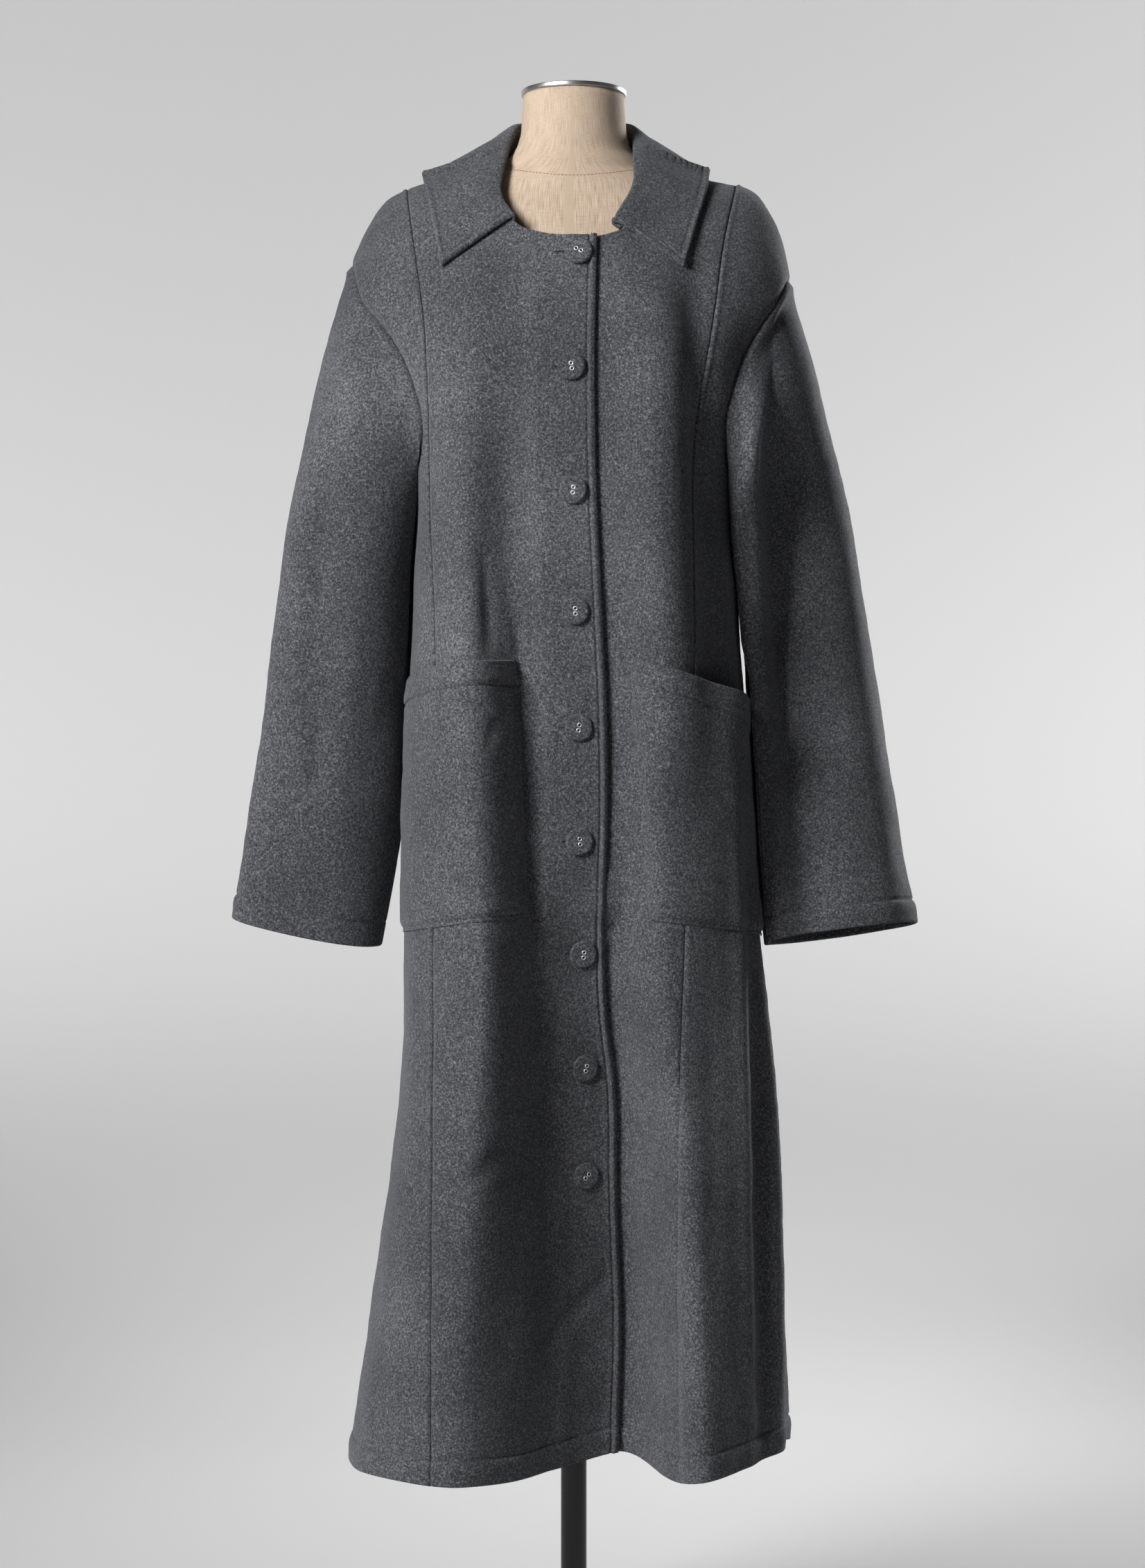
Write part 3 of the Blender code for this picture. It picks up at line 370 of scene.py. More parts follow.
# Pocket edges that are sewn down, the armhole seam, and how a sleeve's creases fade there
POCKET_SINK = 0.0028
POCKET_SINK_WIDTH = 0.012
POCKET_THIN = 0.0009
POCKET_PROUD = Hump(0.75, 0, POCKET_SINK_WIDTH)
POCKET_SEWN_AT = 0.0035
ARMHOLE_FADE = 0.03
ARM_SINK = Hump(-0.0024, 0, 0.0034)
ARM_RAISE = Hump(0.0013, 0.0080, 0.0045)
ARM_SEAM_FADE = 0.03
CLEAR_FROM = 0.2
CLEAR_OVER = 0.4

# How uneven the cloth lies, and how shell edges are rounded
WAVE_COUNT = 9
WAVE_SPAN = (0.7, 1.5)
UNEVEN_BROAD = 0.00055
UNEVEN_BROAD_LENGTH = 0.070
UNEVEN_FINE = 0.00016
UNEVEN_FINE_LENGTH = 0.018
BODY_SEED, SLEEVE_SEED, COLLAR_SEED = 11, 23, 37
EDGE_ROUND = 0.7
EDGE_THIN = 0.25

# Creases: a line from one point to another (across, height), its half width, its depth (in) or height (out),
# how far it bows sideways, how much it widens towards its end, and where along it the deepest part lies
Crease = namedtuple("Crease", "from_x from_z to_x to_z half depth bow spread skew")
CREASE_TURN = 0.35
CREASE_ENDS = 0.7
FRONT_CREASES = rows_of(Crease, (
    (0.078, 1.440, 0.100, 0.800, 0.024, 0.0060, 0.002, 1.2, 0.8),
    (0.112, 1.420, 0.138, 0.900, 0.016, -0.0100, 0.002, 1.2, 0.8),
    (-0.085, 1.142, -0.079, 1.038, 0.0055, -0.0040, 0.002, 1.2, 1.2),
    (-0.056, 1.083, -0.049, 1.028, 0.0050, -0.0030, 0.000, 1.1, 1.2),
    (-0.061, 0.590, -0.1227, 0.534, 0.0085, -0.0028, 0.004, 1.2, 1.0),
    (-0.061, 0.604, -0.1227, 0.550, 0.0095, 0.0015, 0.004, 1.2, 1.0),
    (0.038, 0.456, -0.040, 0.388, 0.0070, -0.0030, 0.004, 1.2, 0.9),
    (0.040, 0.436, -0.024, 0.374, 0.0120, 0.0014, 0.004, 1.1, 1.0),
    (0.152, 0.940, 0.168, 0.230, 0.0070, 0.0052, 0.002, 1.2, 1.0),
    (0.166, 0.900, 0.181, 0.230, 0.0065, -0.0064, 0.002, 1.2, 1.0),
    (0.178, 0.860, 0.199, 0.230, 0.0065, 0.0090, 0.002, 1.2, 0.9),
    (0.128, 0.760, 0.130, 0.240, 0.0090, -0.0025, 0.003, 1.2, 1.0),
))
BACK_CREASES = rows_of(Crease, (
    (-0.060, 1.380, -0.075, 1.010, 0.016, -0.0050, 0.004, 1.3, 0.9),
    (0.075, 1.360, 0.066, 1.030, 0.014, -0.0056, -0.003, 1.3, 1.0),
    (-0.105, 1.130, 0.010, 1.060, 0.014, -0.0040, 0.010, 1.1, 1.0),
    (0.115, 1.115, 0.020, 1.075, 0.012, -0.0034, -0.008, 1.1, 1.0),
    (-0.038, 1.060, -0.066, 0.200, 0.022, 0.0080, 0.004, 1.5, 0.8),
    (0.060, 1.000, 0.096, 0.200, 0.020, 0.0072, -0.004, 1.5, 0.8),
    (0.010, 0.960, 0.016, 0.200, 0.018, -0.0070, 0.003, 1.6, 0.8),
    (-0.108, 0.980, -0.138, 0.200, 0.018, -0.0062, -0.004, 1.5, 0.8),
))
POCKET_CREASES = rows_of(Crease, (
    (-0.0735, 0.980, -0.0790, 0.948, 0.0050, -0.0020, 0.000, 1.0, 1.0),
    (-0.108, 1.005, -0.078, 0.985, 0.0060, -0.0016, 0.002, 1.0, 1.0),
))
SLEEVE_CREASES = {
    -1: rows_of(Crease, (
        (-0.220, 1.360, -0.247, 0.950, 0.0110, -0.0030, -0.004, 1.4, 1.0),
        (-0.262, 1.160, -0.238, 1.100, 0.0080, -0.0020, 0.003, 1.0, 1.0),
        (-0.246, 0.990, -0.243, 0.910, 0.0090, -0.0030, 0.000, 1.2, 1.0),
        (-0.200, 1.120, -0.226, 0.860, 0.0120, 0.0026, 0.004, 1.3, 1.0),
    )),
    1: rows_of(Crease, (
        (0.192, 1.440, 0.230, 0.690, 0.0250, -0.0300, 0.004, 1.25, 1.05),
        (0.166, 1.360, 0.182, 1.060, 0.0110, 0.0040, 0.002, 1.2, 0.9),
        (0.214, 1.420, 0.318, 0.720, 0.0230, 0.0170, 0.002, 1.2, 0.9),
    )),
}
SLEEVE_BACK_CREASES = {
    -1: rows_of(Crease, (
        (-0.200, 1.300, -0.235, 0.940, 0.0130, -0.0040, -0.004, 1.3, 1.0),
        (-0.265, 1.120, -0.200, 1.060, 0.0100, -0.0026, 0.004, 1.1, 1.0),
    )),
    1: rows_of(Crease, (
        (0.196, 1.310, 0.240, 0.900, 0.0130, -0.0044, 0.004, 1.3, 1.0),
        (0.262, 1.060, 0.206, 1.000, 0.0100, -0.0026, -0.004, 1.1, 1.0),
    )),
}

# How the front's creases are held off the dress form
FORM_ROOM = 0.002
FORM_SOFT = 0.0015
FORM_ROOM_TOP = 1.36
FORM_ROOM_FADE = 0.03

# Button and buttonhole details
BUTTON_CROWN = 0.0044
BUTTON_GAP = 0.0006
BUTTON_STEPS = 48
BUTTON_PROFILE = (
    (0.0, BUTTON_CROWN),
    (BUTTON_RADIUS * 0.60, BUTTON_CROWN * 0.98),
    (BUTTON_RADIUS * 0.90, BUTTON_CROWN * 0.93),
    (BUTTON_RADIUS, BUTTON_CROWN * 0.55),
    (BUTTON_RADIUS * 0.97, BUTTON_GAP),
    (BUTTON_HUB, BUTTON_GAP),
    (BUTTON_HUB * 0.8, 0.0),
    (0.0, 0.0),
)
BUTTON_FILLET = 0.0016
BUTTON_UNEVEN = 0.00009
BUTTON_WAVE = 0.007
FILLET_STEPS = 5
NOT_NOUGHT = 1e-9
CAST_FROM = -1.0
EYELET_APART = 0.0050
EYELET_RADIUS = 0.0017
EYELET_WIRE = 0.00045
EYELET_SINK = 0.0002
EYELET_STEPS = 24
EYELET_SIDES = 10
# Each eyelet's hole is filled by a thin near-black disc of this thickness: painted shade in the hole
EYELET_HOLE = 0.0002
EYELET_HOLE_STEPS = 16
BUTTONHOLE_SHIFT = 0.0034
BUTTONHOLE_HALF = 0.0142
BUTTONHOLE_LIP = 0.0013
BUTTONHOLE_LIFT = 0.0002
BUTTONHOLE_THREAD = 0.0005
BUTTONHOLE_POINTS = 48
BUTTONHOLE_SIDES = 8
BUTTONHOLE_ROUND = 0.5
# The slit is a sunk near-black tube: painted shade in the buttonhole's opening
SLIT_RADIUS = 0.0012
SLIT_SINK = 0.0005
SLIT_POINTS = 20
SLIT_SIDES = 6

# Dress form, cap and stand details
FORM_FINE = 112
FORM_STEPS = 120
LINEN_ROUND = 0.11
NECK_SEAM = 1.5035
NECK_SEAM_RISE = 0.018
NECK_SEAM_TURNS = np.radians(np.arange(-110, 111, 2))
NECK_SEAM_STITCH = Stitch(0.0026, 0.00035, 0.0036)
CAP_LIP = 0.003
CAP_BEVEL = 0.0018
CAP_DISH = 0.0006
CAP_FILLET, CAP_STEPS = 0.0012, 96
BASE_FILLET, BASE_STEPS = 0.003, 128
POLE_FILLET, POLE_FILLET_STEPS, POLE_STEPS = 0.0006, 3, 64

# Colours and grain
WOOL_FLECK_SCALE = 480.0
WOOL_FIBRE_SCALE = 1300.0
WOOL_FIBRES = (((1.0, 1.0, 0.45), (0.3, 0.8, 0.2)), ((0.45, 1.0, 1.0), (-0.4, 0.9, -0.5)))
WOOL_CURL = 1.2
WOOL_CLOUD_SCALE = 9.0
WOOL_NAP_SCALE = 1700.0
WOOL_STOPS = (
    (0.42, (0.010, 0.0105, 0.012)),
    (0.52, (0.036, 0.037, 0.041)),
    (0.60, (0.085, 0.086, 0.094)),
    (0.68, (0.230, 0.233, 0.245)),
)
LINEN_SCALE = 1500.0
LINEN_THREADS = ((1.0, 0.035, 1.0), (0.06, 1.0, 1.0))
LINEN_CLOUD_SCALE = 40.0
LINEN_STOPS = ((0.32, (0.26, 0.190, 0.132)), (0.52, (0.455, 0.350, 0.260)), (0.72, (0.59, 0.475, 0.368)))
METAL_BRUSH = (1.0, 1.0, 6.0)
METAL_GLOSS = (0.8, 1.3)
METAL_STOPS = ((0.3, (0.50, 0.50, 0.51)), (0.7, (0.64, 0.64, 0.65)))
EYELET_STOPS = ((0.3, (0.86, 0.86, 0.87)), (0.7, (0.95, 0.95, 0.95)))
BLACK_STOPS = ((0.3, (0.008, 0.008, 0.009)), (0.7, (0.016, 0.016, 0.018)))
BLACK_PEEL_SCALE = 900.0
THREAD_TWIST_SCALE = 1500.0
THREAD_SHADES = ((0.3, 0.6), (0.7, 1.3))
THREAD_COLOUR = (0.050, 0.051, 0.056)
# Near-black for painted shade in the eyelets' holes and the buttonhole slits
PAINTED_SHADE_COLOUR = (0.006, 0.006, 0.007)
SEAM_THREAD_COLOUR = (0.26, 0.10, 0.06)

# Camera, light and backdrop
CAMERA_PLACE = (-0.0012, -3.00, 0.92)
CAMERA_LENS = 70.6
CAMERA_SENSOR = 36.0
Light = namedtuple("Light", "name place aim width tall watts spread")
LIGHTS = rows_of(Light, (
    ("key", (-1.75, -2.05, 2.25), (0.0, 0.0, 0.92), 0.9, 1.2, 125.0, 180),
    ("backdrop_left", (-3.0, 2.7, 4.0), (-2.0, 8.0, 3.1), 3.0, 3.0, 290.0, 180),
    ("backdrop_right", (3.0, 2.7, 4.0), (2.0, 8.0, 3.1), 3.0, 3.0, 375.0, 180),
    ("floor", (0.2, 1.7, 4.2), (0.2, 1.7, 0.0), 2.4, 2.2, 15.0, 36),
    ("back", (1.95, 2.30, 1.90), (0.0, 0.0, 0.92), 0.9, 1.2, 34.0, 90),
    ("wall_left", (-3.5, -1.0, 4.5), (-8.0, -1.0, 2.5), 3.0, 3.0, 45.0, 180),
    ("wall_right", (3.5, -1.0, 4.5), (8.0, -1.0, 2.5), 3.0, 3.0, 25.0, 180),
    ("wall_front", (0.0, -4.5, 4.8), (0.0, -8.0, 2.5), 3.0, 3.0, 35.0, 180),
))
BOWL_FLOOR, BOWL_SPAN, BOWL_RISE = 1.5, 7.5, 5.5
BOWL_REACH = math.radians(88)
BOWL_STEPS = 96
FLOOR_GAP = 0.0005
STUDIO_COLOUR = (0.42, 0.42, 0.42, 1.0)
WORLD_COLOUR = (1.0, 1.0, 1.0, 1.0)
WORLD_STRENGTH = 0.006


# Reading the tables
def cubic(places, values, at):
    """A smooth curve through values given at places, read at any place."""
    slopes = np.gradient(values, places, axis=0)
    at = np.clip(np.asarray(at, float), places[0], places[-1])
    i = np.clip(np.searchsorted(places, at) - 1, 0, len(places) - 2)
    span = places[i + 1] - places[i]
    t = (at - places[i]) / span
    wide = (...,) + (None,) * (np.ndim(values) - 1)
    t, span = t[wide], span[wide]
    start = values[i] * (1 + 2 * t) + slopes[i] * span * t
    end = values[i + 1] * (3 - 2 * t) - slopes[i + 1] * span * (1 - t)
    return start * (1 - t) ** 2 + end * t**2


def read(rows, name, at):
    """A table's named column, read at any place along its first column."""
    places = np.array([row[0] for row in rows])
    values = np.array([getattr(row, name) for row in rows])
    return cubic(places, values, at)


def read_sides(rows, x, at):
    """A table with a right and a left column, read on the side that x is on."""
    return np.where(np.asarray(x) < 0, read(rows, "right", at), read(rows, "left", at))


def smoothstep(t):
    t = np.clip(t, 0, 1)
    return t * t * (3 - 2 * t)


def unit(vectors):
    return vectors / np.linalg.norm(vectors, axis=-1, keepdims=True)


# The coat body's surface
def ridge_height(x):
    return read_sides(RIDGE, x, np.abs(x))


def ring_angle(x, height):
    """Angle round the front half of the body at a distance x from the middle."""
    half = read_sides(RINGS, x, height)
    share = np.clip(np.abs(x) / half, 0, 1)
    return np.sign(x) * np.arcsin(share ** (1 / ROUNDNESS))


def fold_moves(angle, height):
    """How far all folds together move the cloth outward and up."""
    degrees = np.degrees(angle)
    reach, lift = np.zeros_like(degrees), np.zeros_like(degrees)
    for fold in FOLDS:
        down = np.clip((fold.fades_at - height) / (fold.fades_at - HEM), 0, 1)
        centre = fold.top_angle + (fold.hem_angle - fold.top_angle) * down
        away = (degrees - centre + 180) % 360 - 180
        share = down**FOLD_GROWTH * np.exp(-((away / fold.spread) ** 2))
        reach += fold.reach * share
        lift += fold.lift * share
    return reach, lift


def pleat_reach(x, height):
    """How far the front's deep pleat moves the cloth forward."""
    columns = (read(PLEATS, name, height) for name in Pleat._fields[1:])
    left, wall_x, wall_half, panel, inner, right_x, right = columns
    edge_x = read(FRONT_EDGE, "left", height)
    wall = smoothstep((x - wall_x) / (2 * wall_half) + 0.5)
    settle = smoothstep((x - wall_x) / (edge_x - wall_x))
    rise = smoothstep((x - edge_x) / (right_x - edge_x))
    fall = smoothstep((x - right_x) / (PLEAT_FOOT - right_x))
    return left + (panel - left) * wall + (inner - panel) * settle + (right - inner) * rise - right * fall


def coat_surface(angle, height):
    """Points of the coat body: level rings to the underarm, then up over the shoulder to its ridge."""
    angle, height = np.broadcast_arrays(np.asarray(angle, float), np.asarray(height, float))
    sine, cosine = np.sin(angle), np.cos(angle)
    half = read_sides(RINGS, sine, height)
    depth = np.where(cosine > 0, read(RINGS, "front", height), read(RINGS, "back", height))
    x = half * np.sign(sine) * np.abs(sine) ** ROUNDNESS
    y = -depth * np.sign(cosine) * np.abs(cosine) ** ROUNDNESS
    climb = np.clip((height - CHEST) / (SHOULDER - CHEST), 0, 1)
    turn = np.clip((climb - TURN_START) / (1 - TURN_START), 0, 1)
    y = RIDGE_Y * (1 - np.sqrt(1 - turn**2)) + y * np.sqrt(1 - turn**2)
    z = np.where(height < CHEST, height, CHEST + (ridge_height(x) - CHEST) * climb)
    reach, lift = fold_moves(angle, height)
    forward = pleat_reach(x, height) * smoothstep(cosine / PLEAT_TURN)
    return np.stack((x + reach * sine, y - reach * cosine - forward, z + lift), axis=-1)


def coat_normal(angle, height):
    """Outward normals of the coat body."""
    around = coat_surface(angle + NORMAL_TURN, height) - coat_surface(angle - NORMAL_TURN, height)
    below = np.minimum(height, SHOULDER - NORMAL_CLIMB) - NORMAL_CLIMB
    above = np.minimum(below + 2 * NORMAL_CLIMB, SHOULDER)
    up = coat_surface(angle, above) - coat_surface(angle, below)
    return unit(np.cross(around, up))


def coat_over(across, over):
    """A point and normal of the upper body; over runs up the front to 1, then down the back to 2."""
    climb = np.where(over < 1, over, 2 - over)
    height = CHEST + (SHOULDER - CHEST) * climb
    front = ring_angle(across, height)
    angle = np.where(over < 1, front, math.pi - front)
    return coat_surface(angle, height), coat_normal(angle, height)


def body_rows():
    """Row heights: closest at the hem, then closer towards the underarm and the shoulder."""
    share = np.linspace(0, 1, LOWER_ROWS + 1)
    lower = HEM + (CHEST - HEM) * (share * (1 - HEM_CROWDING) + HEM_CROWDING * share**2)
    steps = np.arange(1, UPPER_ROWS + 1) / UPPER_ROWS
    upper = CHEST + (SHOULDER - CHEST) * (1 - np.cos(math.pi * steps)) / 2
    return np.concatenate((lower, upper))


def armhole_angle(height):
    """Angle from the front (or the back) at which a panel ends: the side seam, then the armhole."""
    bend = np.clip((height - CHEST) / ARM_BEND, 0, 1)
    return math.pi / 2 - (math.pi / 2 - ARM_ANGLE) * np.sqrt(1 - (1 - bend) ** 2)


def neck_height(x, drop, square):
    share = np.clip(np.abs(x) / NECK_HALF, 0, 1)
    return ridge_height(NECK_HALF) - drop * (1 - share**square) ** (1 / square)


def lap_rise(x, height):
    """How far the overlapping front stands off the one under it."""
    under = read(FRONT_EDGE, "left", height) - UNDERLAP
    ramp = (x - (under - LAP_RAMP_FROM)) / (LAP_RAMP_FROM - LAP_RAMP_TO)
    return LAP_RISE * smoothstep(ramp)


# Grids of points for each body panel, hem row first
Grid = namedtuple("Grid", "points normals")


def body_grid(angles, heights):
    return Grid(coat_surface(angles, heights), coat_normal(angles, heights))


def moved(grid, by):
    """A grid with its points moved along its normals."""
    return Grid(grid.points + grid.normals * by[..., None], grid.normals)


def neck_share():
    """Distances from the middle along half of the front neck curve, as shares of its half width."""
    q = np.linspace(0, 1, NECK_COLUMNS + 1)
    return np.abs(np.cos(math.pi / 2 * q**NECK_CROWDING)) ** (2 / NECK_SQUARE_FRONT)


def trimmed_heights(rows, tops, drop, square):
    """Each column's row heights, squeezed where the neck opening cuts the column short."""
    in_neck = np.abs(tops) < NECK_HALF
    cut = (neck_height(tops, drop, square) - CHEST) / (ridge_height(tops) - CHEST)
    share = np.where(in_neck, cut, 1.0)
    above = np.maximum(rows[:, None] - CHEST, 0)
    return np.minimum(rows[:, None], CHEST) + above * share[None, :]


def front_grid(side):
    """A front panel from its panel seam to its free edge; side -1 is the overlapping right front."""
    rows = body_rows()
    seam = read(PANEL_SEAMS, SIDE_NAMES[side], rows)
    edge = read(FRONT_EDGE, "left", rows)
    lap = edge if side < 0 else UNDERLAP - edge
    ridge = np.linspace(seam[-1], NECK_HALF, RIDGE_COLUMNS + 1)
    neck = NECK_HALF * neck_share()[1:]
    lapped = -lap[-1] * np.arange(1, LAP_COLUMNS + 1) / LAP_COLUMNS
    tops = np.concatenate((ridge, neck, lapped))
    even = np.linspace(0, 1, len(tops))
    if side < 0:
        even = even + LAP_CROWDING * even * (1 - even)
    plain = seam[:, None] + (-lap - seam)[:, None] * even[None, :]
    shaped = np.where(tops > 0, tops * seam[:, None] / seam[-1], tops * lap[:, None] / lap[-1])
    blend = smoothstep((rows - CHEST) / (SHOULDER - CHEST))[:, None]
    across = side * (plain * (1 - blend) + shaped * blend)
    heights = trimmed_heights(rows, side * tops, NECK_DROP_FRONT, NECK_SQUARE_FRONT)
    grid = body_grid(ring_angle(across, heights), heights)
    return moved(grid, lap_rise(across, heights)) if side < 0 else grid


def side_angles(side, rows):
    """A side front panel's angles, from the panel seam to the side seam and armhole."""
    seam = read(PANEL_SEAMS, SIDE_NAMES[side], rows)
    start = np.abs(ring_angle(side * seam, rows))
    share = np.linspace(0, 1, SIDE_COLUMNS + 1)
    return start[:, None] + (armhole_angle(rows) - start)[:, None] * share[None, :]


def side_grid(side):
    rows = body_rows()
    angles = side * side_angles(side, rows)
    return body_grid(angles, np.broadcast_to(rows[:, None], angles.shape))


def back_grid():
    """The back, from the right side seam to the left, its top edge meeting the fronts' shoulders."""
    rows = body_rows()
    halves = []
    for side in (-1, 1):
        outer = side_angles(side, rows[-1:])[0][::-1]
        seam = read(PANEL_SEAMS, SIDE_NAMES[side], SHOULDER)
        ridge = np.linspace(seam, NECK_HALF, RIDGE_COLUMNS + 1)[1:]
        halves.append(np.concatenate((outer, np.abs(ring_angle(side * ridge, SHOULDER)))))
    neck_across = np.linspace(-NECK_HALF, NECK_HALF, BACK_NECK_COLUMNS + 1)[1:-1]
    tops = np.concatenate((-halves[0], ring_angle(neck_across, SHOULDER), halves[1][::-1]))
    angles = math.pi - tops[None, :] * (armhole_angle(rows) / ARM_ANGLE)[:, None]
    reach = len(halves[0])
    across = np.full(len(tops), NECK_HALF)
    across[reach:-reach] = neck_across
    heights = trimmed_heights(rows, across, NECK_DROP_BACK, NECK_SQUARE_BACK)
    return body_grid(angles, heights)


# Sleeves
Armhole = namedtuple("Armhole", "points normals through")


def armhole_loop(side, side_panel, back):
    """The armhole's points from the shoulder tip down the front and up the back, with the body's normals."""
    edge = 0 if side < 0 else -1
    back_part = slice(LOWER_ROWS + 1, -1)
    points = np.concatenate((side_panel.points[ARMHOLE_FRONT, -1], back.points[back_part, edge]))
    normals = np.concatenate((side_panel.normals[ARMHOLE_FRONT, -1], back.normals[back_part, edge]))
    return points, normals


def sleeve_ring(side, section, count):
    """One section of a sleeve: an ellipse from its outermost to its innermost point, its front turned in."""
    outer = np.array((side * section.outer_x, section.middle_y, section.outer_z))
    inner = np.array((side * section.inner_x, section.middle_y, section.inner_z))
    forward = section.half_depth * np.array((-side * section.turn, -1.0, 0.0))
    half = (outer - inner) / 2
    half = half * math.sqrt(1 - (forward[0] / half[0]) ** 2)
    angle = 2 * math.pi * np.arange(count)[:, None] / count
    across, deep = squared(np.cos(angle)), squared(np.sin(angle))
    return (outer + inner) / 2 + half * across + forward * deep


def squared(share):
    return np.sign(share) * np.abs(share) ** SLEEVE_ROUNDNESS


def clear_of_body(side, points):
    """Move sleeve points out sideways until they clear the coat's side."""
    x, y, z = np.moveaxis(points, -1, 0)
    near = 1 - CLOSER_BEHIND * smoothstep(y / CLEARANCE_FADE)
    room = SLEEVE_CLEARANCE * near * np.clip((CLEAR_BELOW - z) / CLEARANCE_FADE, 0, 1)
    beside_pocket = np.clip((POCKET_LEVEL - z) / CLEARANCE_FADE, 0, 1) * smoothstep(-y / CLEARANCE_FADE)
    room = room + POCKET_CLEARANCE * beside_pocket
    level = np.minimum(z, CLEAR_BELOW)
    half = read_sides(RINGS, np.full_like(x, side), level) + room
    depth = np.where(y < 0, read(RINGS, "front", level), read(RINGS, "back", level)) + room
    power = 2 / ROUNDNESS
    limit = half * np.maximum(1 - (np.abs(y) / depth) ** power, 0) ** (1 / power)
    pushed = np.where(z < CLEAR_BELOW, np.maximum(np.abs(x), limit), np.abs(x))
    return np.stack((side * pushed, y, z), axis=-1)


def sleeve_grid(side, loop, body_normals):
    """A sleeve from the armhole to the cuff, and the directions shared with the body along the armhole."""
    sections = SLEEVE_RIGHT if side < 0 else SLEEVE_LEFT
    rings = [loop] + [sleeve_ring(side, section, len(loop)) for section in sections]
    places = np.arange(len(rings), dtype=float)
    share = np.linspace(0, 1, SLEEVE_ROWS + 1)
    share = share * (1 + CUFF_CROWDING) - CUFF_CROWDING * share**2
    points = cubic(places, np.array(rings), share * places[-1])
    points[1:] = clear_of_body(side, points[1:])
    around = np.roll(points, -1, axis=1) - np.roll(points, 1, axis=1)
    down = np.gradient(points, axis=0)
    normals = unit(np.cross(around, down)) * side
    along = unit(around[0])
    into_body = np.cross(body_normals, along) * -side
    fall = points[1] - points[0]
    into_sleeve = unit(fall - along * np.sum(fall * along, axis=-1, keepdims=True))
    through = unit(into_sleeve - into_body)
    through = unit(2 * through + np.roll(through, 1, axis=0) + np.roll(through, -1, axis=0))
    normals[0] = unit(np.cross(through, along)) * -side
    return Grid(points, normals), Armhole(points[0], normals[0], through)


def fit_armhole(side, side_panel, back, armhole):
    """Give the body's armhole edges the normals and the seam gap that the sleeve's edge has."""
    edge = 0 if side < 0 else -1
    shift = -armhole.through * SEAM_GAP / 2
    front_count = UPPER_ROWS + 1
    side_panel.normals[ARMHOLE_FRONT, -1] = armhole.normals[:front_count]
    side_panel.points[ARMHOLE_FRONT, -1] = armhole.points[:front_count] + shift[:front_count]
    order = np.r_[UPPER_ROWS : 2 * UPPER_ROWS, 0]
    back.normals[LOWER_ROWS:, edge] = armhole.normals[order]
    back.points[LOWER_ROWS:, edge] = armhole.points[order] + shift[order]


# Collar
def neckline(front_right, back, front_left):
    """Points and normals round the neck opening under the collar, from its right end to its left end."""
    corner = RIDGE_COLUMNS
    first = corner + COLLAR_RIGHT_END
    last = corner + COLLAR_LEFT_END
    back_first = SIDE_COLUMNS + RIDGE_COLUMNS + 1
    parts = []
    for field in ("points", "normals"):
        right = getattr(front_right, field)[-1, corner : first + 1][::-1]
        middle = getattr(back, field)[-1, back_first : back_first + BACK_NECK_COLUMNS - 1]
        left = getattr(front_left, field)[-1, corner : last + 1]
        parts.append(np.concatenate((right, middle, left)))
    halves = (COLLAR_RIGHT_END, BACK_NECK_COLUMNS, COLLAR_LEFT_END)
    stops = np.cumsum((0,) + halves)
    place = np.interp(np.arange(stops[-1] + 1), stops, (-1.0, -0.5, 0.5, 1.0))
    return parts[0], parts[1], place


def finer(line, times):
    """A line's values at more steps."""
    places = np.arange(len(line), dtype=float)
    return cubic(places, line, np.linspace(0, places[-1], times * (len(line) - 1) + 1))


def clear_of_coat(points, lift):
    """Lift points of the collar's leaf until they clear the shoulder under them."""
    ridge = ridge_height(points[:, 0])
    climb = np.minimum((points[:, 2] - CHEST) / (ridge - CHEST), 1)
    back_share = smoothstep((points[:, 1] - RIDGE_Y) / RIDGE_BLEND + 0.5)
    lifted = points.copy()
    for over, share in ((climb, 1 - back_share), (2 - climb, back_share)):
        under, normal = coat_over(points[:, 0], over)
        above = np.sum((points - under) * normal, axis=-1)
        lifted += normal * (share * np.maximum(lift - above, 0))[:, None]
    return lifted


def collar_grid(front_right, back, front_left):
    """The collar's middle surface: stand, roll and leaf at each station of the neckline."""
    seam, normals, place = (finer(line, COLLAR_FINER) for line in neckline(front_right, back, front_left))
    normals = unit(normals)
    foot = seam - normals * COAT_WALL / 2
    lift = read(COLLAR, "lift", place)
    edge, edge_normal = coat_over(read(COLLAR, "across", place), read(COLLAR, "over", place))
    edge = edge + edge_normal * lift[:, None]
    roll = np.stack([read(COLLAR, name, place) for name in ("roll_x", "roll_y", "roll_z")], axis=-1)
    up = np.array((0.0, 0.0, 1.0))
    along = unit(np.gradient(foot, axis=0))
    across = roll - foot
    across = across - along * np.sum(across * along, axis=-1, keepdims=True)
    start = foot + unit(across) * COLLAR_SEAT
    columns = [start + (roll - start) * step / STAND_POINTS for step in range(STAND_POINTS)]
    rise = COLLAR_RISE * (1 - COLLAR_END_FLAT * np.abs(place) ** 3)[:, None]
    over_roll = roll + up * rise
    pull = edge + (roll + up * COLLAR_CREST - edge) * COLLAR_PULL
    for t in np.linspace(0, 1, LEAF_POINTS + 1) ** COLLAR_CROWDING:
        leaf = (1 - t) ** 3 * roll + 3 * (1 - t) ** 2 * t * over_roll
        leaf = leaf + 3 * (1 - t) * t**2 * pull + t**3 * edge
        columns.append(clear_of_coat(leaf, lift * min(1.0, t / COLLAR_LANDS)))
    points = np.stack(columns)
    faces = unit(np.cross(np.gradient(points, axis=0), np.gradient(points, axis=1)))
    same = np.sign(np.sum(faces[0] * normals, axis=-1, keepdims=True))
    faces[0] = normals * same
    return Grid(points, faces)


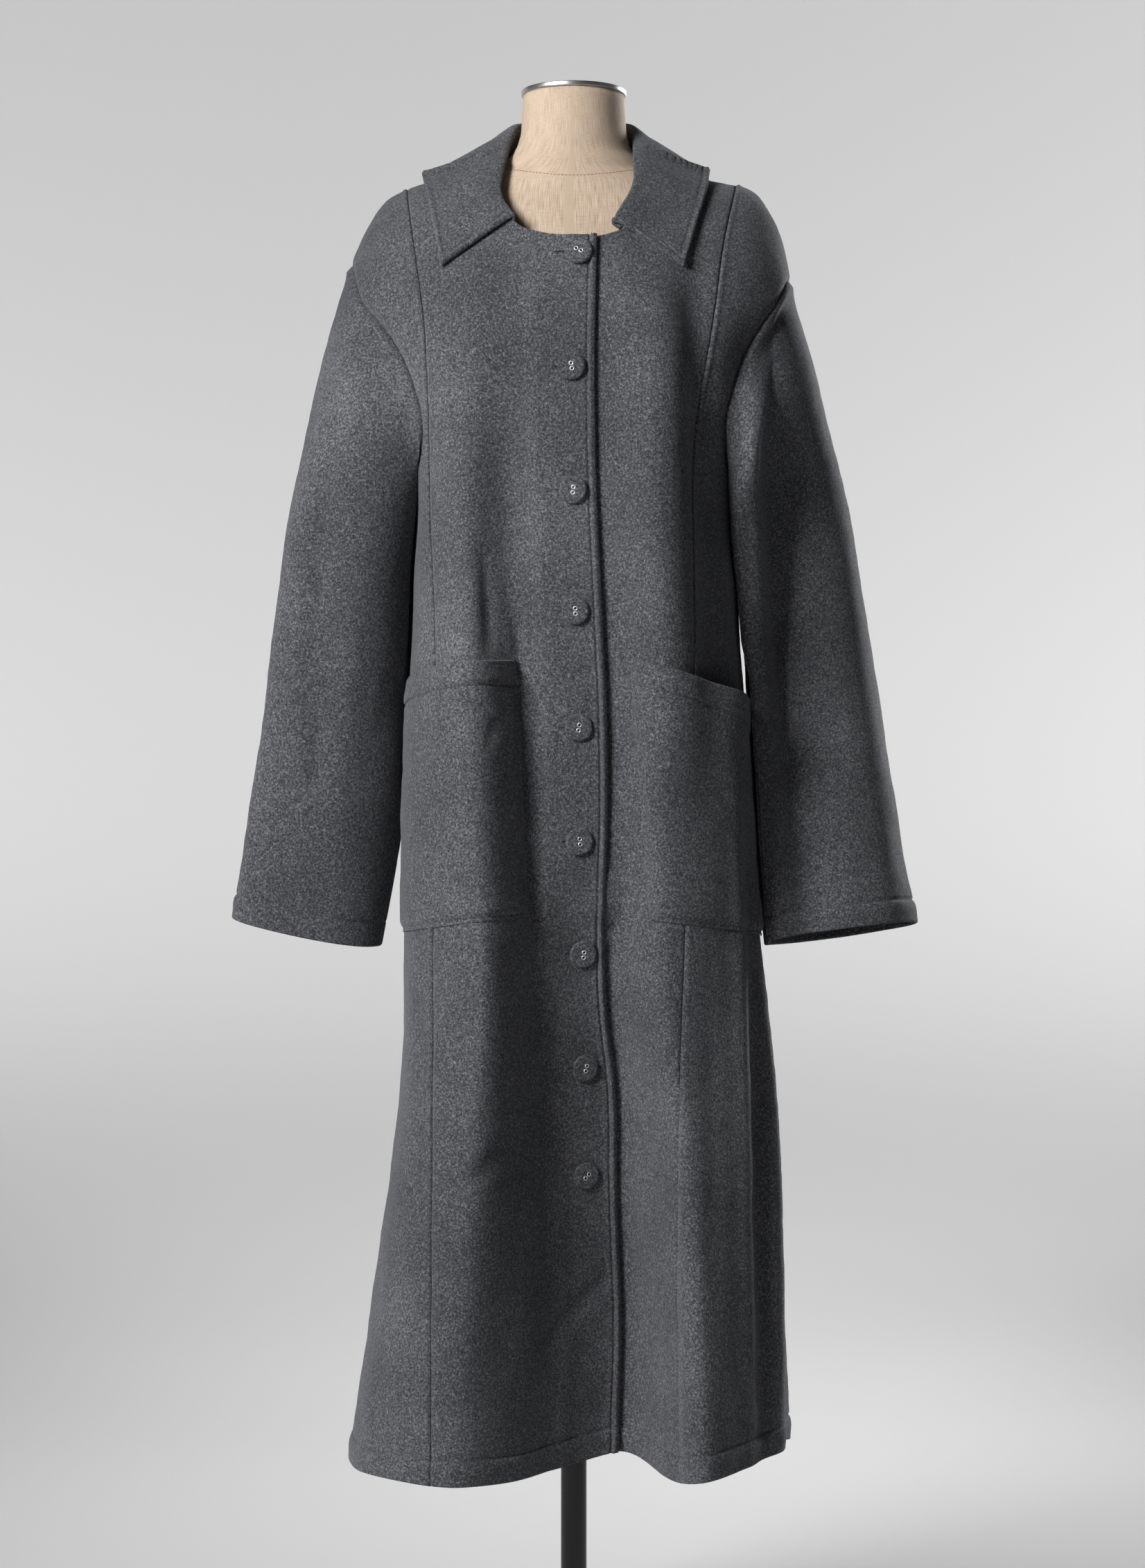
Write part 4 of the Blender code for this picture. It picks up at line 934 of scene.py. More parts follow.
# Pockets
def pocket_grid(side):
    """A patch pocket laid on the front and side front, its mouth standing off a little."""
    pocket = POCKET_RIGHT if side < 0 else POCKET_LEFT
    share = np.linspace(0, 1, POCKET_COLUMNS + 1)[None, :]
    climb = np.linspace(0, 1, POCKET_ROWS + 1)[:, None]
    bottom = pocket.bottom_in + (pocket.bottom_out - pocket.bottom_in) * share
    top = pocket.top_in + (pocket.top_out - pocket.top_in) * share
    heights = bottom + (top - bottom) * climb
    inner = pocket.bottom_x + (pocket.top_x - pocket.bottom_x) * climb
    start = np.abs(ring_angle(side * np.broadcast_to(inner, heights.shape), heights))
    angles = side * (start + (POCKET_SIDE_ANGLE - start) * share)
    grid = body_grid(angles, heights)
    power = math.log(0.5) / math.log(pocket.gape_at)
    swell = np.sin(math.pi * share**power) ** POCKET_SWELL
    room = POCKET_ROOM * np.sin(math.pi / 2 * climb) + pocket.gape * climb**3
    off = POCKET_SEAT + COAT_WALL + swell * room
    if side < 0:
        off = off + lap_rise(grid.points[..., 0], heights)
    return moved(grid, off)


# The dress form's rings
def fitted_hollow(depth, half, height, drop, at_back):
    """How hollow a level ring's sides are made so that they stay under the coat's shoulder."""
    x = half * np.sin(HOLLOW_ANGLES)
    climb = np.minimum((height + drop - CHEST) / (ridge_height(x) - CHEST), 1)
    away = np.abs(coat_over(x, 2 - climb if at_back else climb)[0][:, 1] - RIDGE_Y)
    room = np.maximum(away - FORM_CLEARANCE, FORM_CLEARANCE)
    hollow = np.log(room / depth) / np.log(np.cos(HOLLOW_ANGLES))
    return max([1.0, *hollow[x > NECK_HALF]])


def form_rings():
    """The dress form's rings with how hollow each is, its shoulders just under the coat's shoulder seams."""
    body = [(ring, FORM_SHOULDER[0].drop) for ring in FORM_BODY]
    for row in FORM_SHOULDER:
        height = float(ridge_height(row.half)) - row.drop
        body.append((FormRing(height, row.half, row.front, row.back), row.drop))
    rings = []
    for ring, drop in body:
        hollows = [1.0, 1.0]
        if ring.height > FORM_FITTED_ABOVE:
            hollows[0] = fitted_hollow(ring.front, ring.half, ring.height, drop, False)
            hollows[1] = fitted_hollow(ring.back, ring.half, ring.height, drop, True)
        rings.append((ring, hollows))
    return rings + [(ring, [1.0, 1.0]) for ring in FORM_NECK]


# Finer form on the grids
def run_length(points, axis):
    """Distance along each grid line from its first point."""
    steps = np.linalg.norm(np.diff(points, axis=axis), axis=-1)
    start = np.zeros_like(steps.take([0], axis))
    return np.concatenate((start, np.cumsum(steps, axis=axis)), axis=axis)


def edge_distance(points, *edges):
    """Distance of each grid point from the nearest of the named edges, along its grid line."""
    away = []
    for edge in edges:
        axis = 0 if edge.startswith("row") else 1
        along = run_length(points, axis)
        away.append(along if edge.endswith("first") else along.take([-1], axis) - along)
    return np.min(away, axis=0)


def hump(distance, shape):
    """A soft ridge, or a groove where its height is negative."""
    return shape.height * np.exp(-(((distance - shape.at) / shape.half) ** 2))


def turned_edge(points, edge, stitch_at):
    """A turned and sewn edge: padded up to its stitch line, which sits in a groove."""
    distance = edge_distance(points, edge)
    share = np.clip(distance / stitch_at, 0, 1)
    return EDGE_PUFF * np.sin(math.pi * share**EDGE_PUFF_HIGH) + hump(distance - stitch_at, STITCH_GROOVE)


def waves(points, seed, length):
    """A smooth uneven field, the same every run: a few waves in drawn directions."""
    draw = np.random.default_rng(seed)
    field = np.zeros(points.shape[:-1])
    for _ in range(WAVE_COUNT):
        way = unit(draw.normal(size=3)) * 2 * math.pi / (length * draw.uniform(*WAVE_SPAN))
        field += np.sin(points @ way + draw.uniform(0, 2 * math.pi))
    return field / math.sqrt(WAVE_COUNT)


def uneven(points, seed):
    broad = UNEVEN_BROAD * waves(points, seed, UNEVEN_BROAD_LENGTH)
    return broad + UNEVEN_FINE * waves(points, seed + 1, UNEVEN_FINE_LENGTH)


def creased(grid, creases, facing):
    """Soft troughs and ridges along lines drawn across the front (facing -1) or the back (1)."""
    move = np.zeros(grid.points.shape[:-1])
    for crease in creases:
        start = np.array((crease.from_x, crease.from_z))
        run = np.array((crease.to_x, crease.to_z)) - start
        length = np.linalg.norm(run)
        along = run / length
        place = grid.points[..., (0, 2)] - start
        inside = np.clip(place @ along / length, 0, 1)
        middle = crease.bow * 4 * inside * (1 - inside)
        grow = 1 + (crease.spread - 1) * inside
        off = (place @ np.array((-along[1], along[0])) - middle) / (crease.half * grow)
        swell = np.sin(math.pi * inside**crease.skew) ** CREASE_ENDS
        move += crease.depth * np.exp(-(off**2)) * swell
    return move * smoothstep(facing * grid.normals[..., 1] / CREASE_TURN)


def rests_on_form(grid, move):
    """Hold the front's creases off the dress form under them."""
    x, y, z = np.moveaxis(moved(grid, move).points, -1, 0)
    half, front = read(FORM_BODY, "half", z), read(FORM_BODY, "front", z)
    face = -front * np.sqrt(np.maximum(1 - (x / half) ** 2, 0))
    over_form = smoothstep((z - FORM_BODY[0].height + FORM_ROOM_FADE) / FORM_ROOM_FADE)
    over_form = over_form * smoothstep((FORM_ROOM_TOP - z) / FORM_ROOM_FADE) * (np.abs(x) < half)
    lack = FORM_ROOM + COAT_WALL - (face - y)
    held = FORM_SOFT * np.logaddexp(0, lack / FORM_SOFT)
    return move + held * over_form * np.maximum(-grid.normals[..., 1], 0)


# Faces of grids, tubes and turned forms
def grid_faces(rows, columns, tube):
    spans = columns if tube else columns - 1
    row, column = np.meshgrid(np.arange(rows - 1), np.arange(spans), indexing="ij")
    here, after = row * columns + column, row * columns + (column + 1) % columns
    return np.stack([corner.ravel() for corner in (here, after, after + columns, here + columns)], axis=-1)


def rim_pairs(rows, columns, tube):
    """Edges round a grid's rim, ordered so that faces built on them look outward."""
    c = np.arange(columns if tube else columns - 1)
    after = (c + 1) % columns
    last = (rows - 1) * columns
    pairs = [np.stack((c, after), -1), np.stack((last + after, last + c), -1)]
    if not tube:
        r = np.arange(rows - 1) * columns
        pairs += [np.stack((r + columns, r), -1), np.stack((r + columns - 1, r + 2 * columns - 1), -1)]
    return np.concatenate(pairs)


def tube_faces(rows, columns):
    """A tube's faces with both its ends closed."""
    last = (rows - 1) * columns
    ends = [list(range(columns - 1, -1, -1)), list(range(last, last + columns))]
    return grid_faces(rows, columns, True).tolist() + ends


def ring_faces(rows, steps):
    """Faces between level rings, from the top ring down."""
    return grid_faces(rows, steps, True)[:, (0, 3, 2, 1)].tolist()


def fan(tip, start, steps):
    """Faces from a tip to each step of a ring."""
    return [[tip, start + s, start + (s + 1) % steps] for s in range(steps)]


# Turning points and faces into pieces
def plain_object(name, points, faces, material):
    """A smooth mesh object."""
    mesh = bpy.data.meshes.new(name)
    mesh.from_pydata(np.asarray(points).tolist(), [], faces if isinstance(faces, list) else faces.tolist())
    mesh.validate()
    mesh.shade_smooth()
    mesh.materials.append(material)
    item = bpy.data.objects.new(name, mesh)
    bpy.context.scene.collection.objects.link(item)
    return item


def new_object(name, points, faces, material, slot):
    """A mesh object that rides on the row's one body."""
    item = plain_object(name, points, faces, material)
    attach(item, "root")
    return item


def rounded(distance, wall):
    """The share of the wall's thickness left close to an edge."""
    share = np.clip(distance / (wall * EDGE_ROUND), 0, 1)
    return np.maximum(np.sqrt(1 - (1 - share) ** 2), EDGE_THIN)


def shell(outer, inner, tube):
    """A closed shell between two grids of points, its faces looking outward."""
    rows, columns = outer.shape[:2]
    quads, rim, inside = grid_faces(rows, columns, tube), rim_pairs(rows, columns, tube), rows * columns
    wall = np.stack((rim[:, 1], rim[:, 0], inside + rim[:, 0], inside + rim[:, 1]), -1)
    faces = np.concatenate((quads, inside + quads[:, ::-1], wall))
    points = np.concatenate((outer.reshape(-1, 3), inner.reshape(-1, 3)))
    a, b, c, d = (points[faces[:, k]] for k in range(4))
    volume = np.sum(np.cross(c - a, d - b) * (a + b + c + d))
    return points, faces if volume > 0 else faces[:, ::-1]


def closed(points, axis=0):
    """Points that go all round, with the first ones again at the end."""
    return np.concatenate((points, points.take([0], axis)), axis)


def add_cloth(name, grid, wool, move, free, wall=COAT_WALL, middle=False, tube=False):
    """A cloth piece that stands for a node, with its free edges rounded; returns its outer points."""
    points, normals = moved(grid, move)
    wall = np.broadcast_to(wall, move.shape)
    half = (wall / 2 * rounded(edge_distance(points, *free), wall))[..., None]
    core = points if middle else points - normals * wall[..., None] / 2
    outer, inner = core + normals * half, core - normals * half
    item = new_object("coat_" + name, *shell(outer, inner, tube), wool, "wool")
    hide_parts(name)
    declare_sheet(closed(outer, 1) if tube else outer)
    return outer


def declare_sheet(outer):
    """Work out a piece's widest row and its longest column; the values are not kept."""
    width = float(run_length(outer, 1)[:, -1].max())
    length = float(run_length(outer, 0)[-1].max())


# Sewing
def line_at(points, edge, distance):
    """The line on a grid that keeps a distance from a named edge."""
    away = edge_distance(points, edge)
    if edge.startswith("column"):
        away, points = away.T, np.swapaxes(points, 0, 1)
    if edge.endswith("last"):
        away, points = away[::-1], points[::-1]
    columns = range(points.shape[1])
    return np.array([[np.interp(distance, away[:, c], points[:, c, k]) for k in range(3)] for c in columns])


def resampled(line, pitch):
    """Even steps along a line, with the way it runs at each."""
    along = run_length(line, 0)
    at = np.arange(pitch / 2, along[-1], pitch)
    spots = [
        np.stack([np.interp(at + step, along, line[:, k]) for k in range(3)], -1)
        for step in (0, STITCH_LOOK * pitch, -STITCH_LOOK * pitch)
    ]
    return spots[0], unit(spots[1] - spots[2])


def square_to(along, outward):
    """The ways up off the cloth and across, square to the way a line runs."""
    up = unit(outward - along * np.sum(outward * along, -1, keepdims=True))
    return up, np.cross(along, up)


def rings_round(centres, up, across, radius, sides):
    """A ring of points round each centre."""
    turns = np.linspace(0, 2 * math.pi, sides, endpoint=False)
    return np.stack([centres + radius * (across * math.cos(t) + up * math.sin(t)) for t in turns], 1)


def stitches(line, outward, stitch=SEAM_STITCH):
    """Separate stitches along a line: spindles that lie on the cloth."""
    places, along = resampled(line, stitch.pitch)
    if outward.ndim == 2:
        outward = outward[np.argmin(np.linalg.norm(places[:, None] - line[None], axis=-1), axis=1)]
    ways = square_to(along, outward)
    points = np.stack([
        rings_round(places + along * (stitch.length * share), *ways, stitch.radius * thick, STITCH_SIDES)
        for share, thick in STITCH_RINGS
    ], 1)
    one = tube_faces(len(STITCH_RINGS), STITCH_SIDES)
    corners = len(STITCH_RINGS) * STITCH_SIDES
    faces = [[corners * n + corner for corner in face] for n in range(len(points)) for face in one]
    return points.reshape(-1, 3), faces


def joined(parts):
    """One set of points and faces from several."""
    points, faces, start = [], [], 0
    for part_points, part_faces in parts:
        points.append(part_points)
        faces += [[start + corner for corner in face] for face in part_faces]
        start += len(part_points)
    return np.concatenate(points), faces


def tube_along(line, outward, radius, sides, loop=True):
    """A round thread laid along a line."""
    along = unit(np.roll(line, -1, 0) - np.roll(line, 1, 0) if loop else np.gradient(line, axis=0))
    points = rings_round(line, *square_to(along, outward), radius, sides).reshape(-1, 3)
    if loop:
        return points, (grid_faces(len(line) + 1, sides, True) % len(points)).tolist()
    return points, tube_faces(len(line), sides)


# Turned forms
def ring_points(profile, steps):
    """Level rings of points from a profile of (radius, height)."""
    turns = np.linspace(0, 2 * math.pi, steps, endpoint=False)
    return [(r * math.cos(t), r * math.sin(t), h) for r, h in profile for t in turns]


def turned(profile, steps):
    """A turned form from a profile of (radius, height), top to bottom, whose ends are on the axis."""
    inner = profile[1:-1]
    points = ring_points(inner, steps) + [(0, 0, profile[0][1]), (0, 0, profile[-1][1])]
    top, last = len(inner) * steps, (len(inner) - 1) * steps
    low = [[tip, after, here] for tip, here, after in fan(top + 1, last, steps)]
    return np.array(points), ring_faces(len(inner), steps) + fan(top, 0, steps) + low


def disc(radius, low, high):
    return (0, high), (radius, high), (radius, low), (0, low)


def fillet(profile, radius, steps=FILLET_STEPS):
    """A profile with its inner corners rounded off."""
    out = [profile[0]]
    for before, corner, after in zip(profile, profile[1:], profile[2:]):
        a, b, c = (np.array(point) for point in (before, corner, after))
        cut = min(radius, np.linalg.norm(a - b) / 2, np.linalg.norm(c - b) / 2)
        start, end = b + unit(a - b) * cut, b + unit(c - b) * cut
        for t in np.linspace(0, 1, steps + 1):
            out.append(tuple((1 - t) ** 2 * start + 2 * t * (1 - t) * b + t**2 * end))
    return out + [profile[-1]]


def placed(points, matrix):
    return points @ np.array(matrix.to_3x3()).T + np.array(matrix.translation)


# Materials
def set_sockets(made, **values):
    """Set unlinked inputs, named with _ for a space."""
    for name, value in values.items():
        made.inputs[name.replace("_", " ")].default_value = value


def new_material(name, **sockets):
    """A material, its node tree and its shader, with the values that are the same all over set."""
    material = bpy.data.materials.new(name)
    material.use_nodes = True
    shader = material.node_tree.nodes["Principled BSDF"]
    set_sockets(shader, **sockets)
    return material, material.node_tree, shader


def node(tree, kind, **sockets):
    made = tree.nodes.new("ShaderNode" + kind)
    set_sockets(made, **sockets)
    return made


def own_place(tree):
    return node(tree, "TexCoord").outputs["Object"]


def noise(tree, where, scale, detail=2.0, roughness=0.5, curl=0.0, stretch=None, turn=(0.0, 0.0, 0.0)):
    """Noise over given coordinates, stretched where it stands for fibres."""
    if stretch:
        mapping = node(tree, "Mapping", Scale=stretch, Rotation=turn)
        tree.links.new(where, mapping.inputs["Vector"])
        where = mapping.outputs["Vector"]
    made = node(tree, "TexNoise", Scale=scale, Detail=detail, Roughness=roughness, Distortion=curl)
    tree.links.new(where, made.inputs["Vector"])
    return made.outputs["Fac"]


def math_node(tree, operation, first, second):
    made = node(tree, "Math")
    made.operation = operation
    for socket, value in zip(made.inputs, (first, second)):
        if isinstance(value, float):
            socket.default_value = value
        else:
            tree.links.new(value, socket)
    return made.outputs["Value"]


def weighted(tree, *parts):
    """The sum of parts, each times its weight."""
    terms = [math_node(tree, "MULTIPLY", part, weight) for part, weight in parts]
    total = terms[0]
    for term in terms[1:]:
        total = math_node(tree, "ADD", total, term)
    return total


def paint(tree, shader, factor, stops):
    """Colour a shader by a ramp through (place, colour) pairs."""
    made = node(tree, "ValToRGB")
    elements = made.color_ramp.elements
    while len(elements) < len(stops):
        elements.new(0.5)
    for element, (place, colour) in zip(elements, stops):
        element.position = place
        element.color = (*colour, 1.0)
    tree.links.new(factor, made.inputs["Fac"])
    tree.links.new(made.outputs["Color"], shader.inputs["Base Color"])


def bump(tree, shader, height, strength, distance):
    made = node(tree, "Bump", Strength=strength, Distance=distance)
    tree.links.new(height, made.inputs["Height"])
    tree.links.new(made.outputs["Normal"], shader.inputs["Normal"])


def wool_material():
    """Felted wool: light and dark fibres mixed, a fibrous nap and a faint sheen."""
    material, tree, shader = new_material(
        "felted_wool", Roughness=0.95, Specular_IOR_Level=0.15,
        Sheen_Weight=0.22, Sheen_Roughness=0.45, Sheen_Tint=(0.62, 0.64, 0.68, 1.0),
    )
    where = own_place(tree)
    flecks = noise(tree, where, WOOL_FLECK_SCALE, detail=4.0, roughness=0.72)
    fibres = [
        noise(tree, where, WOOL_FIBRE_SCALE, roughness=0.6, curl=WOOL_CURL, stretch=stretch, turn=turn)
        for stretch, turn in WOOL_FIBRES
    ]
    clouds = noise(tree, where, WOOL_CLOUD_SCALE)
    mixed = weighted(tree, (flecks, 0.5), (math_node(tree, "MAXIMUM", *fibres), 0.5), (clouds, 0.10))
    paint(tree, shader, mixed, WOOL_STOPS)
    nap = noise(tree, where, WOOL_NAP_SCALE, detail=3.0, roughness=0.7)
    bump(tree, shader, weighted(tree, (mixed, 1.0), (nap, 0.5)), strength=0.55, distance=0.0016)
    return material


def linen_material():
    """Plain woven linen over padding: fine upright threads, slubs and a warm uneven tone."""
    material, tree, shader = new_material("linen", Roughness=0.85, Specular_IOR_Level=0.2, Sheen_Weight=0.1)
    where = node(tree, "TexCoord").outputs["UV"]
    warp, weft = (noise(tree, where, LINEN_SCALE, stretch=stretch) for stretch in LINEN_THREADS)
    clouds = noise(tree, where, LINEN_CLOUD_SCALE)
    weave = weighted(tree, (warp, 0.74), (weft, 0.26))
    paint(tree, shader, weighted(tree, (weave, 1.0), (clouds, 0.12)), LINEN_STOPS)
    bump(tree, shader, weave, strength=0.35, distance=0.0006)
    return material


def metal_material(name, stops, roughness, scale):
    """Metal with fine brushing in its colour and gloss."""
    material, tree, shader = new_material(name, Roughness=roughness, Metallic=1.0)
    grain = noise(tree, own_place(tree), scale, detail=3.0, roughness=0.6, stretch=METAL_BRUSH)
    paint(tree, shader, grain, stops)
    least, most = (roughness * share for share in METAL_GLOSS)
    span = node(tree, "MapRange", To_Min=least, To_Max=most)
    tree.links.new(grain, span.inputs["Value"])
    tree.links.new(span.outputs["Result"], shader.inputs["Roughness"])
    return material


def black_material():
    """Satin black paint with a slight orange peel."""
    material, tree, shader = new_material("black_paint", Roughness=0.38)
    peel = noise(tree, own_place(tree), BLACK_PEEL_SCALE)
    paint(tree, shader, peel, BLACK_STOPS)
    bump(tree, shader, peel, strength=0.08, distance=0.0004)
    return material


def thread_material(name, colour):
    """Sewing thread, lighter and darker along its twist."""
    material, tree, shader = new_material(name, Roughness=0.8)
    twist = noise(tree, own_place(tree), THREAD_TWIST_SCALE, roughness=0.6)
    paint(tree, shader, twist, [(at, tuple(shade * c for c in colour)) for at, shade in THREAD_SHADES])
    return material


# The coat
def panel_offset(grid):
    """Creases and unevenness that every body panel and pocket shares at the same place."""
    return creased(grid, FRONT_CREASES, -1) + creased(grid, BACK_CREASES, 1) + uneven(grid.points, BODY_SEED)


def lap_share(points):
    """A share that grows down the coat to one."""
    return LAP_TOP + (1 - LAP_TOP) * smoothstep((LAP_TOP_AT - points[..., 2]) / LAP_TOP_FADE)


def lap_edge(points):
    """A share that grows towards the lapped edge, and down the coat to one."""
    return lap_share(points) * smoothstep(1 - edge_distance(points, "column_last") / LAP_WIDTH)


def armhole_line(points, humps, *edges):
    """The form that the armhole seam gives the cloth along the named edges, above the underarm."""
    above = smoothstep((points[..., 2] - CHEST) / ARM_SEAM_FADE)
    return above * sum(hump(edge_distance(points, edge), shape) for edge in edges for shape in humps)


def drawn_in(grid, *edges):
    """The grid with the named edges drawn back by half of the seam gap."""
    points = grid.points.copy()
    pairs = {"first": (0, 1), "last": (-1, -2)}
    for edge in edges:
        axis, end = edge.split("_")
        at, inside = pairs[end]
        line, target = (np.moveaxis(array, 0 if axis == "row" else 1, 0) for array in (grid.points, points))
        target[at] += unit(line[inside] - line[at]) * SEAM_GAP / 2
    return Grid(points, grid.normals)


def add_front(side, grid, wool, sewing):
    """A front with its hem, and on the right one the lapped edge; returns its outer points."""
    fitted = drawn_in(grid, "column_first", "row_last")
    points = fitted.points
    move = rests_on_form(fitted, panel_offset(fitted)) + turned_edge(points, "row_first", HEM_STITCH)
    move = move + hump(edge_distance(points, "column_first"), SEAM_SINK)
    wall, sewn = COAT_WALL, [("row_first", HEM_STITCH)]
    if side < 0:
        growth = 1 + (LAP_GROWTH - 1) * lap_share(points)
        move = move + growth * turned_edge(points, "column_last", FRONT_STITCH) + LAP_LIFT * lap_edge(points)
        wall = COAT_WALL + LAP_THICKER * lap_edge(points)
        sewn.append(("column_last", FRONT_STITCH))
    free = ("row_first", "column_last")
    outer = add_cloth("front_" + SIDE_NAMES[side], fitted, wool, move, free, wall)
    outward = unit(grid.normals.reshape(-1, 3).mean(axis=0))
    sewing += [stitches(line_at(outer, edge, at), outward) for edge, at in sewn]
    return outer


def add_panel(name, grid, wool, sewing, arm_edges, seam_edges=()):
    """A side front or the back, with its hem, its armhole lines and its raised panel seam."""
    fitted = drawn_in(grid, "column_first", "column_last", "row_last")
    points = fitted.points
    move = panel_offset(fitted) + turned_edge(points, "row_first", HEM_STITCH)
    move = move + armhole_line(points, (ARM_SINK,), *arm_edges)
    for edge in seam_edges:
        move = move + hump(edge_distance(points, edge), SEAM_RAISE)
    outer = add_cloth(name, fitted, wool, move, ("row_first",))
    sewing.append(stitches(line_at(outer, "row_first", HEM_STITCH), grid.normals[HEM_NORMAL_ROW]))


def add_sleeve(side, grid, wool, sewing):
    points = grid.points
    move = creased(grid, SLEEVE_CREASES[side], -1) + creased(grid, SLEEVE_BACK_CREASES[side], 1)
    fade = smoothstep(edge_distance(points, "row_first") / ARMHOLE_FADE)
    move = (move + uneven(points, SLEEVE_SEED)) * fade + turned_edge(points, "row_last", CUFF_STITCH)
    move = keep_clear(side, grid, move + armhole_line(points, (ARM_RAISE, ARM_SINK), "row_first"))
    name = "sleeve_" + SIDE_NAMES[side]
    outer = add_cloth(name, grid, wool, move, ("row_last",), tube=True)
    line = line_at(outer, "row_last", CUFF_STITCH)
    sewing.append(stitches(closed(line), closed(grid.normals[-CUFF_NORMAL_ROW])))


def keep_clear(side, grid, move):
    """Keep creases from pushing the sleeve's inner side into the coat's body."""
    inward = smoothstep((-side * grid.normals[..., 0] - CLEAR_FROM) / CLEAR_OVER)
    return move * (1 - inward) + np.minimum(move, 0) * inward


def add_pocket(side, wool, sewing):
    """A patch pocket, sewn down on three sides, with a turned mouth."""
    grid = pocket_grid(side)
    points = grid.points
    sewn_edges = ("row_first", "column_first", "column_last")
    sewn = edge_distance(points, *sewn_edges)
    sink = POCKET_SINK * (1 - smoothstep(sewn / POCKET_SINK_WIDTH))
    if side < 0:
        sink = sink * (1 - hump(edge_distance(points, "column_first"), POCKET_PROUD))
    move = panel_offset(grid) + turned_edge(points, "row_last", POCKET_STITCH)
    move = move - sink + creased(grid, POCKET_CREASES, -1) + hump(sewn - POCKET_SEWN_AT, STITCH_GROOVE)
    wall = COAT_WALL - (COAT_WALL - POCKET_THIN) * sink / POCKET_SINK
    name, under = SIDE_NAMES[side], ("coat_front_", "coat_side_front_")
    outer = add_cloth("pocket_" + name, grid, wool, move, (*sewn_edges, "row_last"), wall)
    sewing.append(stitches(line_at(outer, "row_last", POCKET_STITCH), grid.normals[-POCKET_NORMAL_ROW]))


def add_collar(grid, wool):
    """The collar, padded up to the line drawn in along its edge."""
    points, free = grid.points, ("row_last", "column_first", "column_last")
    away = edge_distance(points, *free)
    padded = EDGE_PUFF * np.sin(math.pi * np.clip(away / COLLAR_STITCH, 0, 1))
    side = np.sign(np.sum(grid.normals[-1] * COLLAR_OUTWARD, axis=-1)).mean()
    move = side * (padded + hump(away, COLLAR_GROOVE) + uneven(points, COLLAR_SEED) / 2)
    add_cloth("collar", grid, wool, move, free, COLLAR_WALL, middle=True)


def add_coat(wool, thread):
    """The coat's cloth and stitching; returns the right front's outer points, which carry the buttons."""
    fronts, sides = ({side: make(side) for side in SIDE_NAMES} for make in (front_grid, side_grid))
    back = back_grid()
    sewing, outers = [], {}
    for side, name in SIDE_NAMES.items():
        sleeve, armhole = sleeve_grid(side, *armhole_loop(side, sides[side], back))
        add_sleeve(side, sleeve, wool, sewing)
        fit_armhole(side, sides[side], back, armhole)
        add_panel("side_front_" + name, sides[side], wool, sewing, ("column_last",), ("column_first",))
        outers[side] = add_front(side, fronts[side], wool, sewing)
        add_pocket(side, wool, sewing)
    add_panel("back", back, wool, sewing, ("column_first", "column_last"))
    add_collar(collar_grid(fronts[-1], back, fronts[1]), wool)
    new_object("stitching", *joined(sewing), thread, "wool")
    return outers[-1]


# Buttons
def add_buttons(front_outer, wool, metal, dark):
    """Covered buttons with metal eyelets, and the worked buttonholes beside them."""
    faces = grid_faces(*front_outer.shape[:2], False)
    tree = BVHTree.FromPolygons(front_outer.reshape(-1, 3).tolist(), faces.tolist())
    form, form_faces = turned(fillet(BUTTON_PROFILE, BUTTON_FILLET), BUTTON_STEPS)
    # The eyelets' holes are near-black discs: painted shade
    eyelet = eyelet_ring(), turned(disc(EYELET_RADIUS, 0, EYELET_HOLE), EYELET_HOLE_STEPS)
    rings, holes, lips, slits = [], [], [], []
    for number, place in enumerate(BUTTONS, start=1):
        seat, facing = button_seat(tree, place)
        turn = facing.to_track_quat("Z", "Y").to_matrix().to_4x4()
        matrix = Matrix.Translation(seat + facing * BUTTON_SEAT) @ turn
        points = form + unit(form + NOT_NOUGHT) * (BUTTON_UNEVEN * waves(form, number, BUTTON_WAVE))[:, None]
        item = new_object(f"coat_button_{number}", placed(points, matrix), form_faces, wool, "wool")
        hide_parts(f"button_{number}")
        angle = math.radians(place.turn)
        for end in (-1, 1):
            centre = np.array((math.cos(angle), math.sin(angle), 0)) * end * EYELET_APART / 2
            centre[2] = BUTTON_CROWN - EYELET_SINK
            for parts, (part, part_faces) in zip((rings, holes), eyelet):
                parts.append((placed(part + centre, matrix), part_faces))
        for parts, part in zip((lips, slits), buttonhole(tree, place)):
            parts.append(part)
    new_object("button_eyelets", *joined(rings), metal, "cap_metal")
    # Near-black discs in the eyelets' holes: painted shade
    new_object("eyelet_holes_painted_shade", *joined(holes), dark, "black_metal")
    new_object("buttonholes", *joined(lips), wool, "wool")
    # Near-black tubes in the buttonhole slits: painted shade
    new_object("buttonhole_slits_painted_shade", *joined(slits), dark, "wool")


def lying_on(tree, across, heights, lift):
    """Points on the front's cloth, lifted off it, and the cloth's normals there."""
    points, normals = [], []
    for x, z in zip(across, heights):
        hit, normal = tree.ray_cast(Vector((x, CAST_FROM, z)), Vector((0, 1, 0)))[:2]
        normals.append(normal if normal.y < 0 else -normal)
        points.append(hit + normals[-1] * lift)
    return np.array(points), np.array(normals)


def button_seat(tree, place):
    """Where a button rests on the cloth round it, and the way it faces."""
    turns = np.linspace(0, 2 * math.pi, SEAT_POINTS, endpoint=False)
    across = place.across + BUTTON_RADIUS * np.append(0, np.cos(turns))
    heights = place.height + BUTTON_RADIUS * np.append(0, np.sin(turns))
    spots = lying_on(tree, across, heights, 0)[0]
    middle = spots.mean(axis=0)
    facing = np.linalg.svd(spots - middle)[2][2]
    facing = facing * -np.sign(facing[1])
    lift = SEAT_SINK * max((spots - middle) @ facing)
    return Vector(middle + facing * lift), Vector(facing)


